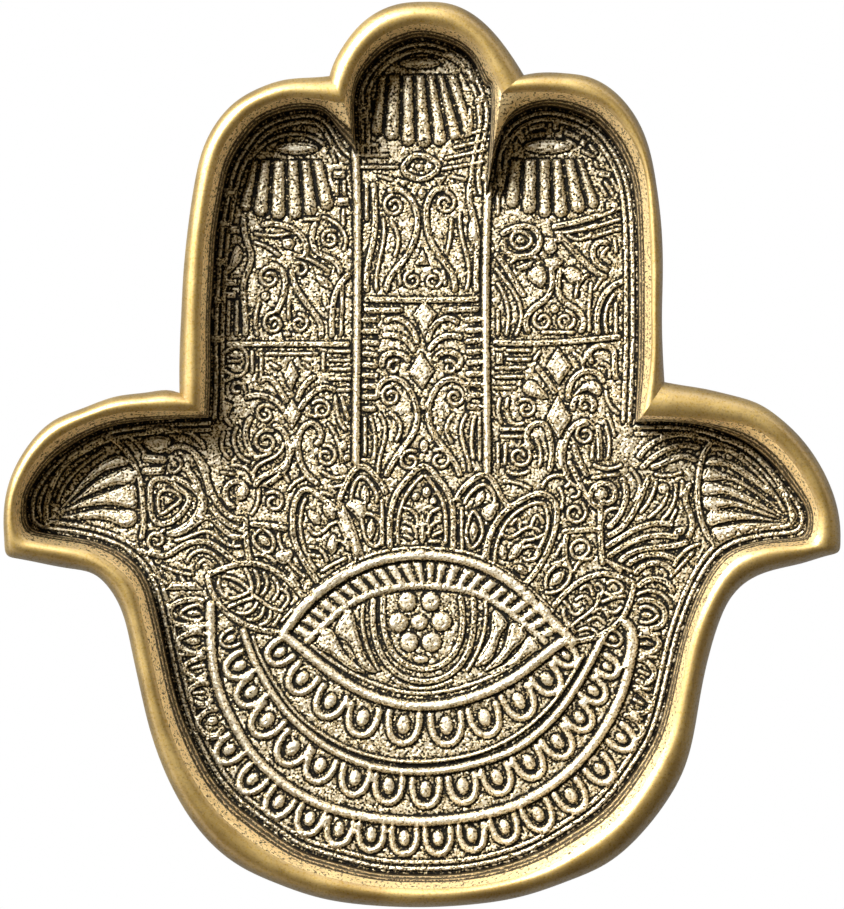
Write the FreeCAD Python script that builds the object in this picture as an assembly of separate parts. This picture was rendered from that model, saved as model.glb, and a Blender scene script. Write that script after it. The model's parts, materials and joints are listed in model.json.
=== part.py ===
import FreeCAD, Part
import math
import os

# Hamsa hand dish: one shallow casting with a rolled rim and a floor full of
# raised line work, standing on four round pads.
# The origin is the middle of the underside, +Y points to the fingertips, +Z up.

# overall sizes, mm
HAND_WIDTH = 140.0
HAND_LENGTH = 151.2
TOTAL_HEIGHT = 15.0

# casting sections, mm
PAD_THICKNESS = 1.2
FLOOR_THICKNESS = 2.8
RIM_ROLL = 3.2
PAD_DIAMETER = 11.0

# raised work, mm
LOW_RELIEF = 0.6
RELIEF = 0.8
HIGH_RELIEF = 1.1
FINE_LINE = 0.62
MAIN_LINE = 0.95
BOLD_LINE = 1.35
LOOP_LINE = 1.25
LID_LINE = 1.7
SMALLEST_ISLAND_SIDE = 0.6

# border lines along the wall foot, distance of each centre line, mm
OUTER_BORDER_INSET = 0.95
INNER_BORDER_INSET = 2.05
BORDER_LINE = 0.72

# all tables below are in thousandths of the hand's width and length,
# from the middle of the outline: u to the right, v to the fingertips
SHARE = 0.001
U_UNIT = HAND_WIDTH * SHARE
V_UNIT = HAND_LENGTH * SHARE

# outline stations, clockwise from the left notch:
# outside line u, v, then the rim's inner edge u, v, then the wall foot u, v
MIDDLE_TIP_SHARES = [
    (-110, 418, -92, 387, -78, 335),
    (-104, 434, -89, 402, -81, 385),
    (-93, 452, -82, 421, -77, 412),
    (-75, 473, -70, 440, -65, 431),
    (-52, 489, -50, 459, -45, 449),
    (-25, 498, -25, 470, -22, 460),
    (3, 500, 0, 474, 0, 464),
    (32, 498, 30, 469, 28, 459),
    (60, 487, 55, 457, 50, 449),
    (82, 470, 72, 440, 66, 432),
    (100, 450, 84, 420, 78, 410),
    (114, 431, 91, 407, 84, 385),
    (122, 419, 95, 397, 78, 290),
]
RIGHT_FINGER_SHARES = [
    (122, 419, 95, 397, 78, 290),
    (134, 421, 108, 398, 87, 330),
    (152, 422, 125, 399, 97, 362),
    (172, 421, 148, 399, 122, 381),
    (195, 418, 175, 397, 155, 387),
    (218, 409, 198, 391, 188, 380),
    (240, 392, 219, 381, 208, 370),
    (258, 369, 238, 363, 226, 354),
    (271, 340, 255, 338, 244, 327),
    (280, 300, 267, 300, 256, 290),
    (286, 255, 271, 250, 260, 245),
    (288, 200, 273, 200, 261, 200),
    (287, 150, 273, 150, 261, 150),
    (288, 112, 272, 100, 260, 95),
    (290, 80, 263, 43, 257, 36),
]
THUMBS_AND_PALM_SHARES = [
    (290, 80, 263, 43, 257, 36),
    (308, 77, 288, 42, 282, 37),
    (335, 73, 325, 40, 320, 35),
    (368, 66, 358, 37, 350, 29),
    (402, 56, 392, 30, 385, 16),
    (428, 40, 418, 15, 411, -1),
    (450, 21, 438, -4, 429, -18),
    (472, -6, 455, -27, 445, -37),
    (488, -35, 467, -49, 459, -54),
    (497, -62, 472, -66, 464, -68),
    (500, -85, 472, -80, 464, -79),
    (500, -98, 470, -90, 462, -86),
    (498, -107, 465, -96, 457, -91),
    (488, -111, 455, -99, 447, -93),
    (455, -120, 428, -101, 424, -95),
    (415, -129, 397, -106, 392, -100),
    (386, -142, 369, -119, 362, -113),
    (368, -160, 350, -141, 342, -137),
    (356, -183, 336, -166, 328, -164),
    (345, -215, 323, -198, 315, -197),
    (333, -265, 309, -255, 300, -253),
    (325, -308, 297, -304, 286, -302),
    (312, -350, 280, -340, 268, -336),
    (291, -385, 258, -373, 246, -366),
    (262, -419, 230, -404, 219, -395),
    (222, -451, 195, -429, 185, -418),
    (175, -471, 154, -451, 147, -439),
    (120, -488, 105, -467, 101, -456),
    (60, -497, 50, -476, 48, -466),
    (0, -500, -3, -478, -3, -468),
    (-60, -498, -57, -475, -55, -465),
    (-120, -490, -112, -465, -106, -453),
    (-175, -473, -160, -449, -152, -438),
    (-218, -454, -200, -427, -188, -415),
    (-255, -426, -235, -401, -223, -390),
    (-285, -389, -262, -371, -250, -362),
    (-308, -347, -284, -336, -270, -329),
    (-324, -305, -301, -298, -287, -293),
    (-337, -255, -315, -251, -301, -248),
    (-347, -212, -325, -208, -311, -206),
    (-358, -173, -334, -172, -320, -169),
    (-372, -149, -345, -142, -332, -137),
    (-392, -132, -366, -122, -353, -114),
    (-420, -126, -392, -108, -383, -100),
    (-455, -120, -425, -101, -421, -92),
    (-483, -115, -458, -96, -455, -87),
    (-495, -111, -472, -92, -467, -83),
    (-498, -99, -480, -83, -473, -76),
    (-499, -80, -483, -68, -475, -65),
    (-498, -55, -482, -50, -474, -49),
    (-489, -22, -473, -27, -465, -30),
    (-468, 12, -455, -1, -447, -9),
    (-440, 37, -430, 20, -423, 9),
    (-405, 51, -398, 35, -392, 25),
    (-365, 64, -362, 45, -358, 34),
    (-325, 69, -322, 48, -320, 38),
    (-302, 71, -292, 48, -289, 40),
    (-289, 68, -264, 48, -256, 41),
]
LEFT_FINGER_SHARES = [
    (-289, 68, -264, 48, -256, 41),
    (-289, 108, -263, 98, -254, 95),
    (-287, 155, -263, 150, -254, 145),
    (-284, 205, -261, 200, -251, 195),
    (-279, 250, -258, 245, -248, 240),
    (-271, 300, -250, 293, -240, 287),
    (-260, 340, -239, 333, -229, 325),
    (-243, 369, -221, 360, -212, 351),
    (-220, 391, -200, 378, -194, 369),
    (-193, 405, -176, 388, -172, 379),
    (-162, 414, -148, 393, -144, 384),
    (-138, 416, -120, 391, -116, 379),
    (-120, 417, -103, 388, -97, 357),
    (-110, 418, -92, 387, -78, 335),
]
OUTLINE_SPANS = [
    MIDDLE_TIP_SHARES, RIGHT_FINGER_SHARES,
    THUMBS_AND_PALM_SHARES, LEFT_FINGER_SHARES,
]

# section of the casting: way across the rim from the outside line, and
# height up the outside wall, both as shares
OUTSIDE_WALL_SHARES = [(0.46, 0.0), (0.20, 0.30), (0.06, 0.66)]
# way across the rim, and drop below the crest as a share of the rim roll
RIM_PROFILE_SHARES = [
    (0.0, 1.0), (0.07, 0.62), (0.20, 0.30), (0.40, 0.07),
    (0.60, 0.0), (0.84, 0.05), (1.0, 0.20),
]
# way from the rim's inner edge to the wall foot, and height share of the wall
INSIDE_WALL_SHARES = [(0.40, 0.86), (0.80, 0.48), (1.0, 0.0)]

BASE_Z = PAD_THICKNESS
FLOOR_Z = PAD_THICKNESS + FLOOR_THICKNESS

# pads under the base
PAD_SHARES = {
    "pad_finger_left": (-165, 270),
    "pad_finger_right": (165, 270),
    "pad_palm_left": (-190, -250),
    "pad_palm_right": (190, -250),
}

# forms that repeat in the raised work, each in shares of its own size
ROUND_SHARE = 0.926
COIL_INNER_SHARE = 0.38
LEAF_BELLY_SHARE = 0.45
DROP_RISE_SHARE = 0.25
DROP_WIDTH_SHARE = 0.46
DROP_LENGTH_SHARE = 0.60
FLUTE_GAP_SHARE = 0.10
FLUTE_FOOT_SHARE = 0.14
TOOTH_GAP_SHARE = 0.14
U_LOOP_SHARES = [
    (-1.0, 1.0), (-0.95, -0.1), (-0.55, -0.8), (0.0, -1.0),
    (0.55, -0.8), (0.95, -0.1), (1.0, 1.0),
]

# how finely lines are followed: stations to a stretch, degrees to a coil's
# station, room kept at tight bends and least step in line widths
SAMPLES_PER_SPAN = 5
BORDER_SAMPLES = 3
COIL_STEP = 40
TIGHT_BEND_SHARE = 0.97
BORDER_STEP_SHARE = 2.0


def vector(x, y, z=0.0):
    return FreeCAD.Vector(x, y, z)


def place(u, v, z=FLOOR_Z):
    return vector(u * U_UNIT, v * V_UNIT, z)


def round_step(across, along):
    """Step of a round form, in units of the hand's width share."""
    return vector(across * U_UNIT, along * ROUND_SHARE * V_UNIT)


def spline(points, parameters=None):
    curve = Part.BSplineCurve()
    if parameters:
        curve.interpolate(Points=points, Parameters=parameters)
    else:
        curve.interpolate(points)
    return curve


def closed_spline(points):
    curve = Part.BSplineCurve()
    curve.interpolate(points, PeriodicFlag=True)
    return curve


def run_lengths(span):
    """Distance along the outside line at each station of a span."""
    lengths = [0.0]
    for before, after in zip(span, span[1:]):
        step_x = (after[0] - before[0]) * U_UNIT
        step_y = (after[1] - before[1]) * V_UNIT
        lengths.append(lengths[-1] + math.hypot(step_x, step_y))
    return lengths


def outline_wire(rim_share, wall_share, z):
    """Closed wire part of the way across the rim, or down the inner wall."""
    edges = []
    for span in OUTLINE_SPANS:
        points = []
        for row in span:
            pair, share = row[0:4], rim_share
            if wall_share > 0.0:
                pair, share = row[2:6], wall_share
            u = pair[0] + (pair[2] - pair[0]) * share
            v = pair[1] + (pair[3] - pair[1]) * share
            points.append(place(u, v, z))
        edges.append(spline(points, run_lengths(span)).toShape())
    return Part.Wire(edges)


def section_wires():
    """Wires of the rim and wall, from the base up and over to the floor."""
    crest_start = TOTAL_HEIGHT - RIM_ROLL
    inner_edge_z = TOTAL_HEIGHT - RIM_ROLL * RIM_PROFILE_SHARES[-1][1]
    wires = []
    for across, up in OUTSIDE_WALL_SHARES:
        wires.append(outline_wire(across, 0.0, BASE_Z + (crest_start - BASE_Z) * up))
    for across, drop in RIM_PROFILE_SHARES:
        wires.append(outline_wire(across, 0.0, TOTAL_HEIGHT - RIM_ROLL * drop))
    for along, up in INSIDE_WALL_SHARES:
        wires.append(outline_wire(1.0, along, FLOOR_Z + (inner_edge_z - FLOOR_Z) * up))
    wires.append(outline_wire(1.0, 1.0, BASE_Z))
    return wires


def rim_and_wall():
    wires = section_wires()
    faces = []
    for lower, upper in zip(wires, wires[1:]):
        for first, second in zip(lower.Edges, upper.Edges):
            faces.append(Part.makeRuledSurface(first, second))
    outside = Part.Face(wires[0])
    faces.append(outside.cut(Part.Face(wires[-1])).Faces[0])
    shell = Part.makeShell(faces)
    shell.sewShape()
    return Part.makeSolid(shell)


def floor_face(z):
    return Part.Face(outline_wire(1.0, 1.0, z))


def floor_plate():
    return floor_face(BASE_Z).extrude(vector(0, 0, FLOOR_THICKNESS))


def pad(u, v):
    centre = place(u, v, 0.0)
    return Part.makeCylinder(PAD_DIAMETER / 2, PAD_THICKNESS, centre)


def clear_points(points, centre_line, distance):
    """Leave out points that a tight bend has folded back over the line."""
    kept = []
    for point in points:
        nearest = min(point.distanceToPoint(c) for c in centre_line)
        if nearest >= distance * TIGHT_BEND_SHARE:
            kept.append(point)
    return kept


def edge_through(points):
    if len(points) < 3:
        return Part.makeLine(points[0], points[-1])
    return spline(points).toShape()


def flat_face(wire):
    """Face on the top of the floor; every flat shape lies on this one plane."""
    return Part.Face(Part.Plane(place(0, 0), vector(0, 0, 1)), wire)


def sampled(curve, spans, per_span=None):
    """Evenly marked points along a curve and its direction at each."""
    steps = (per_span or SAMPLES_PER_SPAN) * spans
    first, last = curve.FirstParameter, curve.LastParameter
    marks = [first + (last - first) * i / steps for i in range(steps + 1)]
    points = [curve.value(mark) for mark in marks]
    tangents = [curve.tangent(mark)[0] for mark in marks]
    return points, tangents


def sides(points, tangents, half):
    """The two edges of a band, without the points a tight bend folds over."""
    left, right = [], []
    for here, along in zip(points, tangents):
        side = vector(-along.y, along.x) * half
        left.append(here + side)
        right.append(here - side)
    return clear_points(left, points, half), clear_points(right, points, half)


def ribbon(points, width, per_span=None):
    """Flat band of a width along a smooth line, with round ends."""
    half = width / 2
    if len(points) == 2:
        along = points[1] - points[0]
        along.normalize()
        tangents = [along, along]
    else:
        points, tangents = sampled(spline(points), len(points) - 1, per_span)
    left, right = sides(points, tangents, half)
    start_tip = points[0] - tangents[0] * half
    end_tip = points[-1] + tangents[-1] * half
    edges = [
        edge_through(left),
        Part.Arc(left[-1], end_tip, right[-1]).toShape(),
        edge_through(right[::-1]),
        Part.Arc(right[0], start_tip, left[0]).toShape(),
    ]
    return flat_face(Part.Wire(edges))


def ring_ribbon(points, width):
    """Flat band round a closed smooth line."""
    points, tangents = sampled(closed_spline(points), len(points))
    wires = []
    for side in sides(points[:-1], tangents[:-1], width / 2):
        wires.append(Part.Wire(closed_spline(side).toShape()))
    wires.sort(key=lambda wire: wire.BoundBox.DiagonalLength)
    return flat_face(wires[1]).cut(flat_face(wires[0])).Faces[0]


def shares_ribbon(row, width):
    points = [place(u, v) for u, v in row]
    if row[0] == row[-1]:
        return ring_ribbon(points[:-1], width)
    return ribbon(points, width)


def blob(row):
    """Closed smooth shape through the points."""
    return flat_face(Part.Wire(closed_spline([place(u, v) for u, v in row]).toShape()))


def block(row):
    """Closed shape with straight sides."""
    points = [place(u, v) for u, v in row]
    return flat_face(Part.makePolygon(points + points[:1]))


def oval(row):
    """Ellipse: centre u, v, half sizes u, v and turn in degrees."""
    u, v, half_u, half_v, turn = row
    first, second = half_u * U_UNIT, half_v * V_UNIT
    if first < second:
        first, second, turn = second, first, turn + 90
    ellipse = Part.Ellipse(vector(0, 0), first, second).toShape()
    ellipse.rotate(vector(0, 0), vector(0, 0, 1), turn)
    ellipse.translate(place(u, v))
    return flat_face(Part.Wire(ellipse))


def coil(row, width):
    """Spiral: centre u, v, outer radius, start angle and turn in degrees."""
    u, v, radius, start, turn = row
    count = max(3, int(abs(turn) / COIL_STEP))
    points = []
    for index in range(count + 1):
        share = index / count
        angle = math.radians(start + turn * share)
        reach = radius * (1 - (1 - COIL_INNER_SHARE) * share)
        points.append(place(u, v) + round_step(math.cos(angle), math.sin(angle)) * reach)
    return ribbon(points, width)


def leaf(row):
    """Pointed leaf: base u, v, tip u, v and half width."""
    u0, v0, u1, v1, half = row
    base, tip = place(u0, v0), place(u1, v1)
    along = tip - base
    side = vector(-along.y, along.x)
    side.normalize()
    belly = base + along * LEAF_BELLY_SHARE
    left = Part.Arc(base, belly + side * half * U_UNIT, tip).toShape()
    right = Part.Arc(tip, belly - side * half * U_UNIT, base).toShape()
    return flat_face(Part.Wire([left, right]))


def u_loop(row, width):
    """Open loop and the drop inside it: centre u, v, half size, lean to the left."""
    u, v, half, lean = row
    turn = FreeCAD.Rotation(vector(0, 0, 1), -lean)
    points = [place(u, v) + turn.multVec(round_step(a, b) * half) for a, b in U_LOOP_SHARES]
    inner = turn.multVec(round_step(0, DROP_RISE_SHARE) * half)
    drop_u, drop_v = u + inner.x / U_UNIT, v + inner.y / V_UNIT
    drop = oval((drop_u, drop_v, half * DROP_WIDTH_SHARE, half * DROP_LENGTH_SHARE, -lean))
    return [ribbon(points, width), drop]


def flute_faces(flutes):
    """Row of reeds with round feet between two lines of marks."""
    tops, bottoms, top_v, foot_vs = flutes
    faces = []
    for index, foot_v in enumerate(foot_vs):
        left, right = tops[index], tops[index + 1]
        low_left, low_right = bottoms[index], bottoms[index + 1]
        gap = FLUTE_GAP_SHARE * (low_right - low_left)
        middle = (low_left + low_right) / 2
        rise = (top_v - foot_v) * FLUTE_FOOT_SHARE
        points = [
            place(left + gap, top_v), place(right - gap, top_v),
            place(low_right - gap, foot_v + rise), place(low_left + gap, foot_v + rise),
        ]
        foot = Part.Arc(points[2], place(middle, foot_v), points[3]).toShape()
        edges = [Part.makeLine(points[0], points[1]), Part.makeLine(points[1], points[2]),
                 foot, Part.makeLine(points[3], points[0])]
        faces.append(flat_face(Part.Wire(edges)))
    return faces


def between(first, second, share):
    return tuple(a + (b - a) * share for a, b in zip(first, second))


def teeth(slots):
    """Four-sided teeth between slots that are given by their two ends u, v."""
    rows = []
    for left, right in zip(slots, slots[1:]):
        first = between(left, right, TOOTH_GAP_SHARE)
        last = between(right, left, TOOTH_GAP_SHARE)
        rows.append([first[0:2], last[0:2], last[2:4], first[2:4]])
    return rows


def motif_faces(motif):
    """Every flat shape of one motif."""
    faces = []
    for key, width in (("bold", BOLD_LINE), ("main", MAIN_LINE),
                       ("fine", FINE_LINE), ("lid", LID_LINE)):
        faces += [shares_ribbon(row, width) for row in motif.get(key, [])]
    faces += [blob(row) for row in motif.get("blob", [])]
    faces += [block(row) for row in motif.get("block", [])]
    faces += [oval(row) for row in motif.get("oval", [])]
    faces += [coil(row, FINE_LINE) for row in motif.get("coil", [])]
    faces += [coil(row, MAIN_LINE) for row in motif.get("bold_coil", [])]
    faces += [leaf(row) for row in motif.get("leaf", [])]
    for row in motif.get("loop", []):
        faces += u_loop(row, LOOP_LINE)
    for row in motif.get("small_loop", []):
        faces += u_loop(row, FINE_LINE)
    for row in motif.get("flutes", []):
        faces += flute_faces(row)
    for slots in motif.get("slots", []):
        faces += [block(row) for row in teeth(slots)]
    return faces


# raised work, one table to a piece; the order matters where pieces meet,
# because a later piece is cut back from the ones before it
MOTIF_SHARES = {}

MOTIF_SHARES["divider_left"] = {
    "bold": [[(-80, 346), (-78, 300), (-77, 200), (-78, 100), (-79, -8)]],
}
MOTIF_SHARES["divider_right"] = {
    "bold": [[(80, 300), (78, 250), (77, 150), (78, 60), (79, -18)]],
}

MOTIF_SHARES["eye_lid_upper"] = {
    "lid": [[(-166, -199), (-150, -179), (-125, -155), (-95, -136), (-60, -121),
             (-20, -113), (20, -113), (60, -120), (100, -138), (132, -162),
             (158, -186), (182, -208)]],
}
MOTIF_SHARES["eye_lid_lower"] = {
    "lid": [[(-166, -201), (-135, -224), (-100, -249), (-60, -269), (-20, -279),
             (22, -279), (62, -270), (102, -254), (135, -233), (168, -209)]],
}
MOTIF_SHARES["eye_lashes"] = {
    "bold": [[(-137, -208), (-116, -189), (-95, -172), (-70, -159), (-40, -150),
              (0, -146), (40, -149), (70, -156), (95, -168), (118, -184),
              (148, -208)]],
    "slots": [[
        (-157, -199, -132, -211), (-146, -188, -123, -199), (-136, -177, -114, -190),
        (-125, -168, -105, -183), (-114, -159, -93, -173), (-102, -150, -81, -164),
        (-88, -143, -67, -161), (-74, -135, -53, -156), (-60, -129, -42, -151),
        (-45, -125, -29, -147), (-29, -122, -15, -145), (-13, -120, -3, -145),
        (3, -120, 6, -145), (18, -120, 15, -145), (33, -122, 24, -146),
        (49, -126, 38, -149), (66, -131, 48, -152), (80, -137, 61, -155),
        (94, -145, 75, -162), (107, -152, 87, -168), (120, -159, 99, -175),
        (132, -168, 112, -184), (144, -178, 122, -191), (156, -188, 133, -200),
        (168, -199, 146, -208),
    ]],
}
MOTIF_SHARES["eye_iris_rings"] = {
    "main": [
        [(-46, -160), (-46, -190), (-38, -215), (-22, -232), (0, -239), (22, -235),
         (41, -218), (49, -192), (47, -160)],
        [(-58, -163), (-58, -192), (-49, -222), (-29, -244), (0, -253), (28, -248),
         (51, -228), (62, -196), (62, -162)],
    ],
    "fine": [
        [(-70, -168), (-70, -198), (-62, -222), (-52, -240)],
        [(77, -166), (75, -198), (66, -222), (55, -240)],
    ],
    "blob": [
        [(-100, -186), (-84, -174), (-79, -190), (-72, -212), (-62, -232), (-55, -243),
         (-66, -241), (-78, -228), (-90, -208)],
        [(-124, -203), (-110, -194), (-100, -208), (-86, -228), (-68, -243), (-84, -240),
         (-106, -224)],
        [(99, -181), (87, -174), (84, -194), (76, -214), (66, -236), (76, -234),
         (90, -216), (97, -198)],
        [(121, -192), (108, -188), (102, -206), (90, -226), (76, -241), (94, -234),
         (112, -216)],
        [(143, -212), (128, -203), (117, -218), (100, -235), (118, -230), (134, -220)],
    ],
}
MOTIF_SHARES["eye_flower"] = {
    "oval": [
        (-3, -187, 10, 9, 0), (-28, -187, 12, 11, 0), (24, -186, 12, 11, 0),
        (-17, -164, 11, 11, 10), (11, -164, 11, 11, 0), (-15, -209, 11, 11, 0),
        (12, -209, 12, 11, 0), (-1, -228, 9, 5, 0),
    ],
}
MOTIF_SHARES["eye_crescents"] = {
    "fine": [
        [(-132, -213), (-100, -235), (-60, -254), (-20, -265), (20, -265),
         (60, -256), (100, -240), (143, -212)],
        [(-128, -205), (-112, -218), (-90, -234)],
        [(150, -206), (128, -221), (104, -234), (84, -243)],
        [(-34, -250), (-15, -259), (10, -260), (36, -252)],
        [(-168, -186), (-150, -168), (-126, -148), (-95, -128), (-60, -112), (-20, -105),
         (20, -105), (60, -111), (98, -128), (130, -150), (158, -175)],
    ],
}

MOTIF_SHARES["petal_centre"] = {
    "main": [[(-38, -102), (-38, -70), (-31, -45), (-16, -26), (3, -13), (20, -27),
              (33, -45), (38, -70), (38, -102)]],
    "leaf": [(1, -101, 1, -66, 5)],
    "fine": [
        [(-28, -98), (-28, -72), (-20, -48), (-6, -30), (3, -24), (12, -32),
         (24, -50), (29, -72), (29, -98)],
        [(-20, -60), (-8, -66), (-5, -80)], [(-20, -75), (-10, -80), (-6, -92)],
        [(-20, -90), (-12, -94)], [(21, -60), (10, -67), (7, -80)],
        [(22, -74), (12, -79), (8, -90)], [(24, -86), (14, -90)], [(20, -97), (10, -97)],
    ],
    "oval": [(-7, -47, 5, 4, 40), (6, -42, 5, 6, 0), (14, -52, 4, 4, 0)],
}
MOTIF_SHARES["petal_left_inner"] = {
    "main": [
        [(-99, -50), (-90, -30), (-73, -13), (-55, -25), (-44, -42)],
        [(-99, -55), (-88, -72), (-80, -92), (-73, -112)],
    ],
    "fine": [
        [(-82, -54), (-83, -38), (-72, -25), (-60, -34), (-54, -52)],
        [(-48, -52), (-47, -75), (-47, -100)],
        [(-66, -66), (-52, -72), (-48, -88), (-54, -102), (-64, -98), (-70, -84), (-66, -66)],
    ],
    "leaf": [(-67, -57, -69, -34, 5), (-62, -96, -60, -72, 5)],
    "blob": [[(-90, -54), (-78, -50), (-66, -62), (-74, -74), (-82, -66)]],
}
MOTIF_SHARES["petal_right_inner"] = {
    "main": [
        [(42, -50), (55, -33), (78, -23), (92, -40), (104, -57)],
        [(78, -114), (82, -92), (90, -76), (102, -62)],
    ],
    "fine": [
        [(52, -54), (60, -42), (76, -34), (88, -48), (84, -58)],
        [(48, -60), (48, -80), (49, -104)],
        [(64, -64), (72, -78), (70, -96), (60, -104), (54, -92), (56, -76), (64, -64)],
    ],
    "leaf": [(66, -58, 74, -40, 5), (62, -98, 63, -74, 5)],
    "blob": [[(92, -54), (80, -56), (72, -64), (80, -74), (90, -64)]],
}
MOTIF_SHARES["petal_left_outer"] = {
    "main": [
        [(-126, -141), (-142, -118), (-154, -92), (-155, -66), (-150, -48), (-141, -39),
         (-122, -47), (-104, -60), (-92, -78), (-84, -98), (-78, -116)],
    ],
    "fine": [
        [(-128, -128), (-138, -112), (-145, -90), (-145, -66), (-140, -50)],
        [(-136, -82), (-122, -88), (-112, -80), (-99, -76)],
        [(-98, -78), (-92, -92), (-88, -106)],
        [(-134, -103), (-122, -106), (-114, -118)], [(-134, -112), (-122, -114)],
        [(-112, -102), (-102, -96), (-92, -100)],
        [(-120, -130), (-106, -122), (-92, -116)],
    ],
    "leaf": [(-136, -62, -122, -78, 6), (-118, -56, -104, -72, 6),
             (-106, -88, -108, -112, 6)],
}
MOTIF_SHARES["petal_right_outer"] = {
    "main": [
        [(76, -116), (82, -90), (98, -66), (122, -50), (148, -44), (160, -54),
         (162, -76), (154, -102), (142, -124), (126, -143)],
    ],
    "fine": [
        [(88, -118), (92, -96), (106, -72), (126, -58), (146, -55), (152, -68),
         (146, -96), (134, -118)],
        [(108, -78), (116, -72), (118, -82)], [(132, -80), (140, -68), (146, -76)],
        [(96, -88), (108, -92), (122, -84), (142, -86)],
        [(124, -104), (134, -102), (142, -108), (136, -116), (124, -116)],
        [(122, -96), (136, -94), (146, -90)],
    ],
    "leaf": [(96, -100, 100, -118, 5), (104, -118, 124, -96, 6),
             (110, -124, 128, -132, 5)],
}
MOTIF_SHARES["petal_left_side"] = {
    "main": [
        [(-212, -74), (-211, -95), (-207, -118)],
        [(-204, -78), (-185, -79), (-165, -83)],
    ],
    "fine": [
        [(-200, -88), (-190, -84), (-178, -98), (-182, -108), (-196, -104), (-200, -88)],
        [(-172, -88), (-170, -100), (-160, -112)], [(-200, -112), (-184, -114), (-176, -120)],
        [(-160, -118), (-152, -128), (-140, -136)], [(-162, -126), (-150, -138)],
        [(-158, -136), (-148, -146)],
    ],
    "leaf": [(-196, -90, -182, -102, 5)],
    "blob": [[(-176, -112), (-166, -106), (-156, -108), (-158, -118), (-168, -122)]],
}
MOTIF_SHARES["petal_right_side"] = {
    "main": [
        [(172, -86), (192, -84), (212, -84)],
        [(215, -56), (215, -85), (218, -121)],
        [(174, -92), (172, -108), (176, -124)],
    ],
    "fine": [
        [(182, -112), (184, -98), (196, -96), (202, -104), (194, -114), (182, -112)],
        [(168, -100), (162, -112)], [(170, -118), (158, -122)],
        [(150, -148), (152, -134), (164, -124), (178, -126), (178, -138), (168, -150),
         (150, -154)],
        [(204, -116), (190, -120), (184, -130)],
    ],
    "leaf": [(154, -146, 172, -130, 6)],
}

MOTIF_SHARES["scroll_left_large"] = {
    "bold_coil": [(-221, -42, 18, 250, -330)],
    "main": [
        [(-262, -12), (-256, -34), (-246, -54), (-228, -70), (-214, -72)],
        [(-200, -34), (-190, -24), (-172, -16), (-158, 0), (-154, 18)],
    ],
    "coil": [(-178, -53, 13, 130, -400)],
    "oval": [(-217, -41, 8, 8, 0)],
    "fine": [
        [(-202, -28), (-196, -12), (-180, -4), (-166, 12)],
        [(-196, -40), (-198, -56), (-204, -66)],
        [(-160, -30), (-166, -22)], [(-160, -40), (-150, -30), (-142, -26)],
        [(-228, -12), (-214, -14), (-204, -22)], [(-240, -20), (-226, -22)],
        [(-212, 0), (-196, -2), (-182, 2)],
    ],
}
MOTIF_SHARES["scroll_right_large"] = {
    "bold_coil": [(221, -46, 19, 200, -320)],
    "main": [
        [(242, -28), (246, -44), (240, -64), (226, -80)],
        [(178, -10), (188, -28), (200, -48), (210, -58)],
    ],
    "coil": [(185, -65, 14, 60, -420)],
    "oval": [(216, -44, 8, 8, 0)],
    "fine": [
        [(174, -36), (184, -34), (190, -42), (182, -48)],
        [(206, -26), (220, -24), (236, -22)],
        [(146, -36), (158, -24), (170, -24), (180, -32)],
        [(166, -38), (170, -48), (168, -60)], [(236, -60), (222, -64), (218, -74)],
        [(208, -12), (224, -16), (240, -12)],
    ],
}

MOTIF_SHARES["side_leaf_left"] = {
    "main": [
        [(-255, -133), (-236, -126), (-208, -121), (-182, -127), (-160, -141), (-143, -158)],
        [(-257, -136), (-252, -154), (-238, -173), (-215, -188), (-190, -196), (-168, -198)],
    ],
    "fine": [
        [(-244, -140), (-242, -152), (-232, -160), (-218, -158), (-206, -152)],
        [(-238, -136), (-222, -140), (-208, -150)], [(-230, -144), (-216, -152)],
        [(-212, -128), (-206, -140), (-204, -152)],
        [(-200, -130), (-196, -142), (-198, -154)], [(-190, -132), (-186, -146), (-192, -156)],
        [(-178, -138), (-172, -150), (-178, -162)], [(-168, -150), (-160, -158), (-166, -170)],
        [(-204, -156), (-192, -164), (-178, -172), (-168, -174)],
        [(-232, -170), (-218, -164), (-204, -160)],
        [(-222, -176), (-208, -176), (-198, -166)],
        [(-208, -184), (-196, -182), (-190, -172)],
        [(-194, -190), (-184, -184), (-182, -176)], [(-178, -190), (-170, -180)],
    ],
}
MOTIF_SHARES["side_leaf_right"] = {
    "main": [
        [(160, -168), (178, -150), (200, -137), (222, -133), (242, -138), (254, -143)],
        [(255, -146), (250, -166), (238, -186), (220, -199), (200, -206), (186, -208)],
    ],
    "fine": [
        [(182, -190), (196, -180), (210, -168), (214, -156)],
        [(186, -162), (196, -158), (204, -166)], [(192, -150), (200, -146), (206, -156)],
        [(212, -144), (218, -150), (212, -160)],
        [(224, -144), (236, -142), (242, -150), (232, -156), (222, -154)],
        [(218, -164), (230, -160), (244, -158)], [(222, -172), (232, -176), (240, -170)],
        [(178, -172), (184, -178), (194, -172)], [(172, -164), (178, -170)],
        [(206, -176), (216, -172), (224, -180)], [(200, -186), (212, -182), (220, -188)],
        [(190, -196), (202, -194), (210, -198)], [(176, -186), (184, -198)],
        [(170, -176), (176, -194)],
    ],
}

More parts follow.
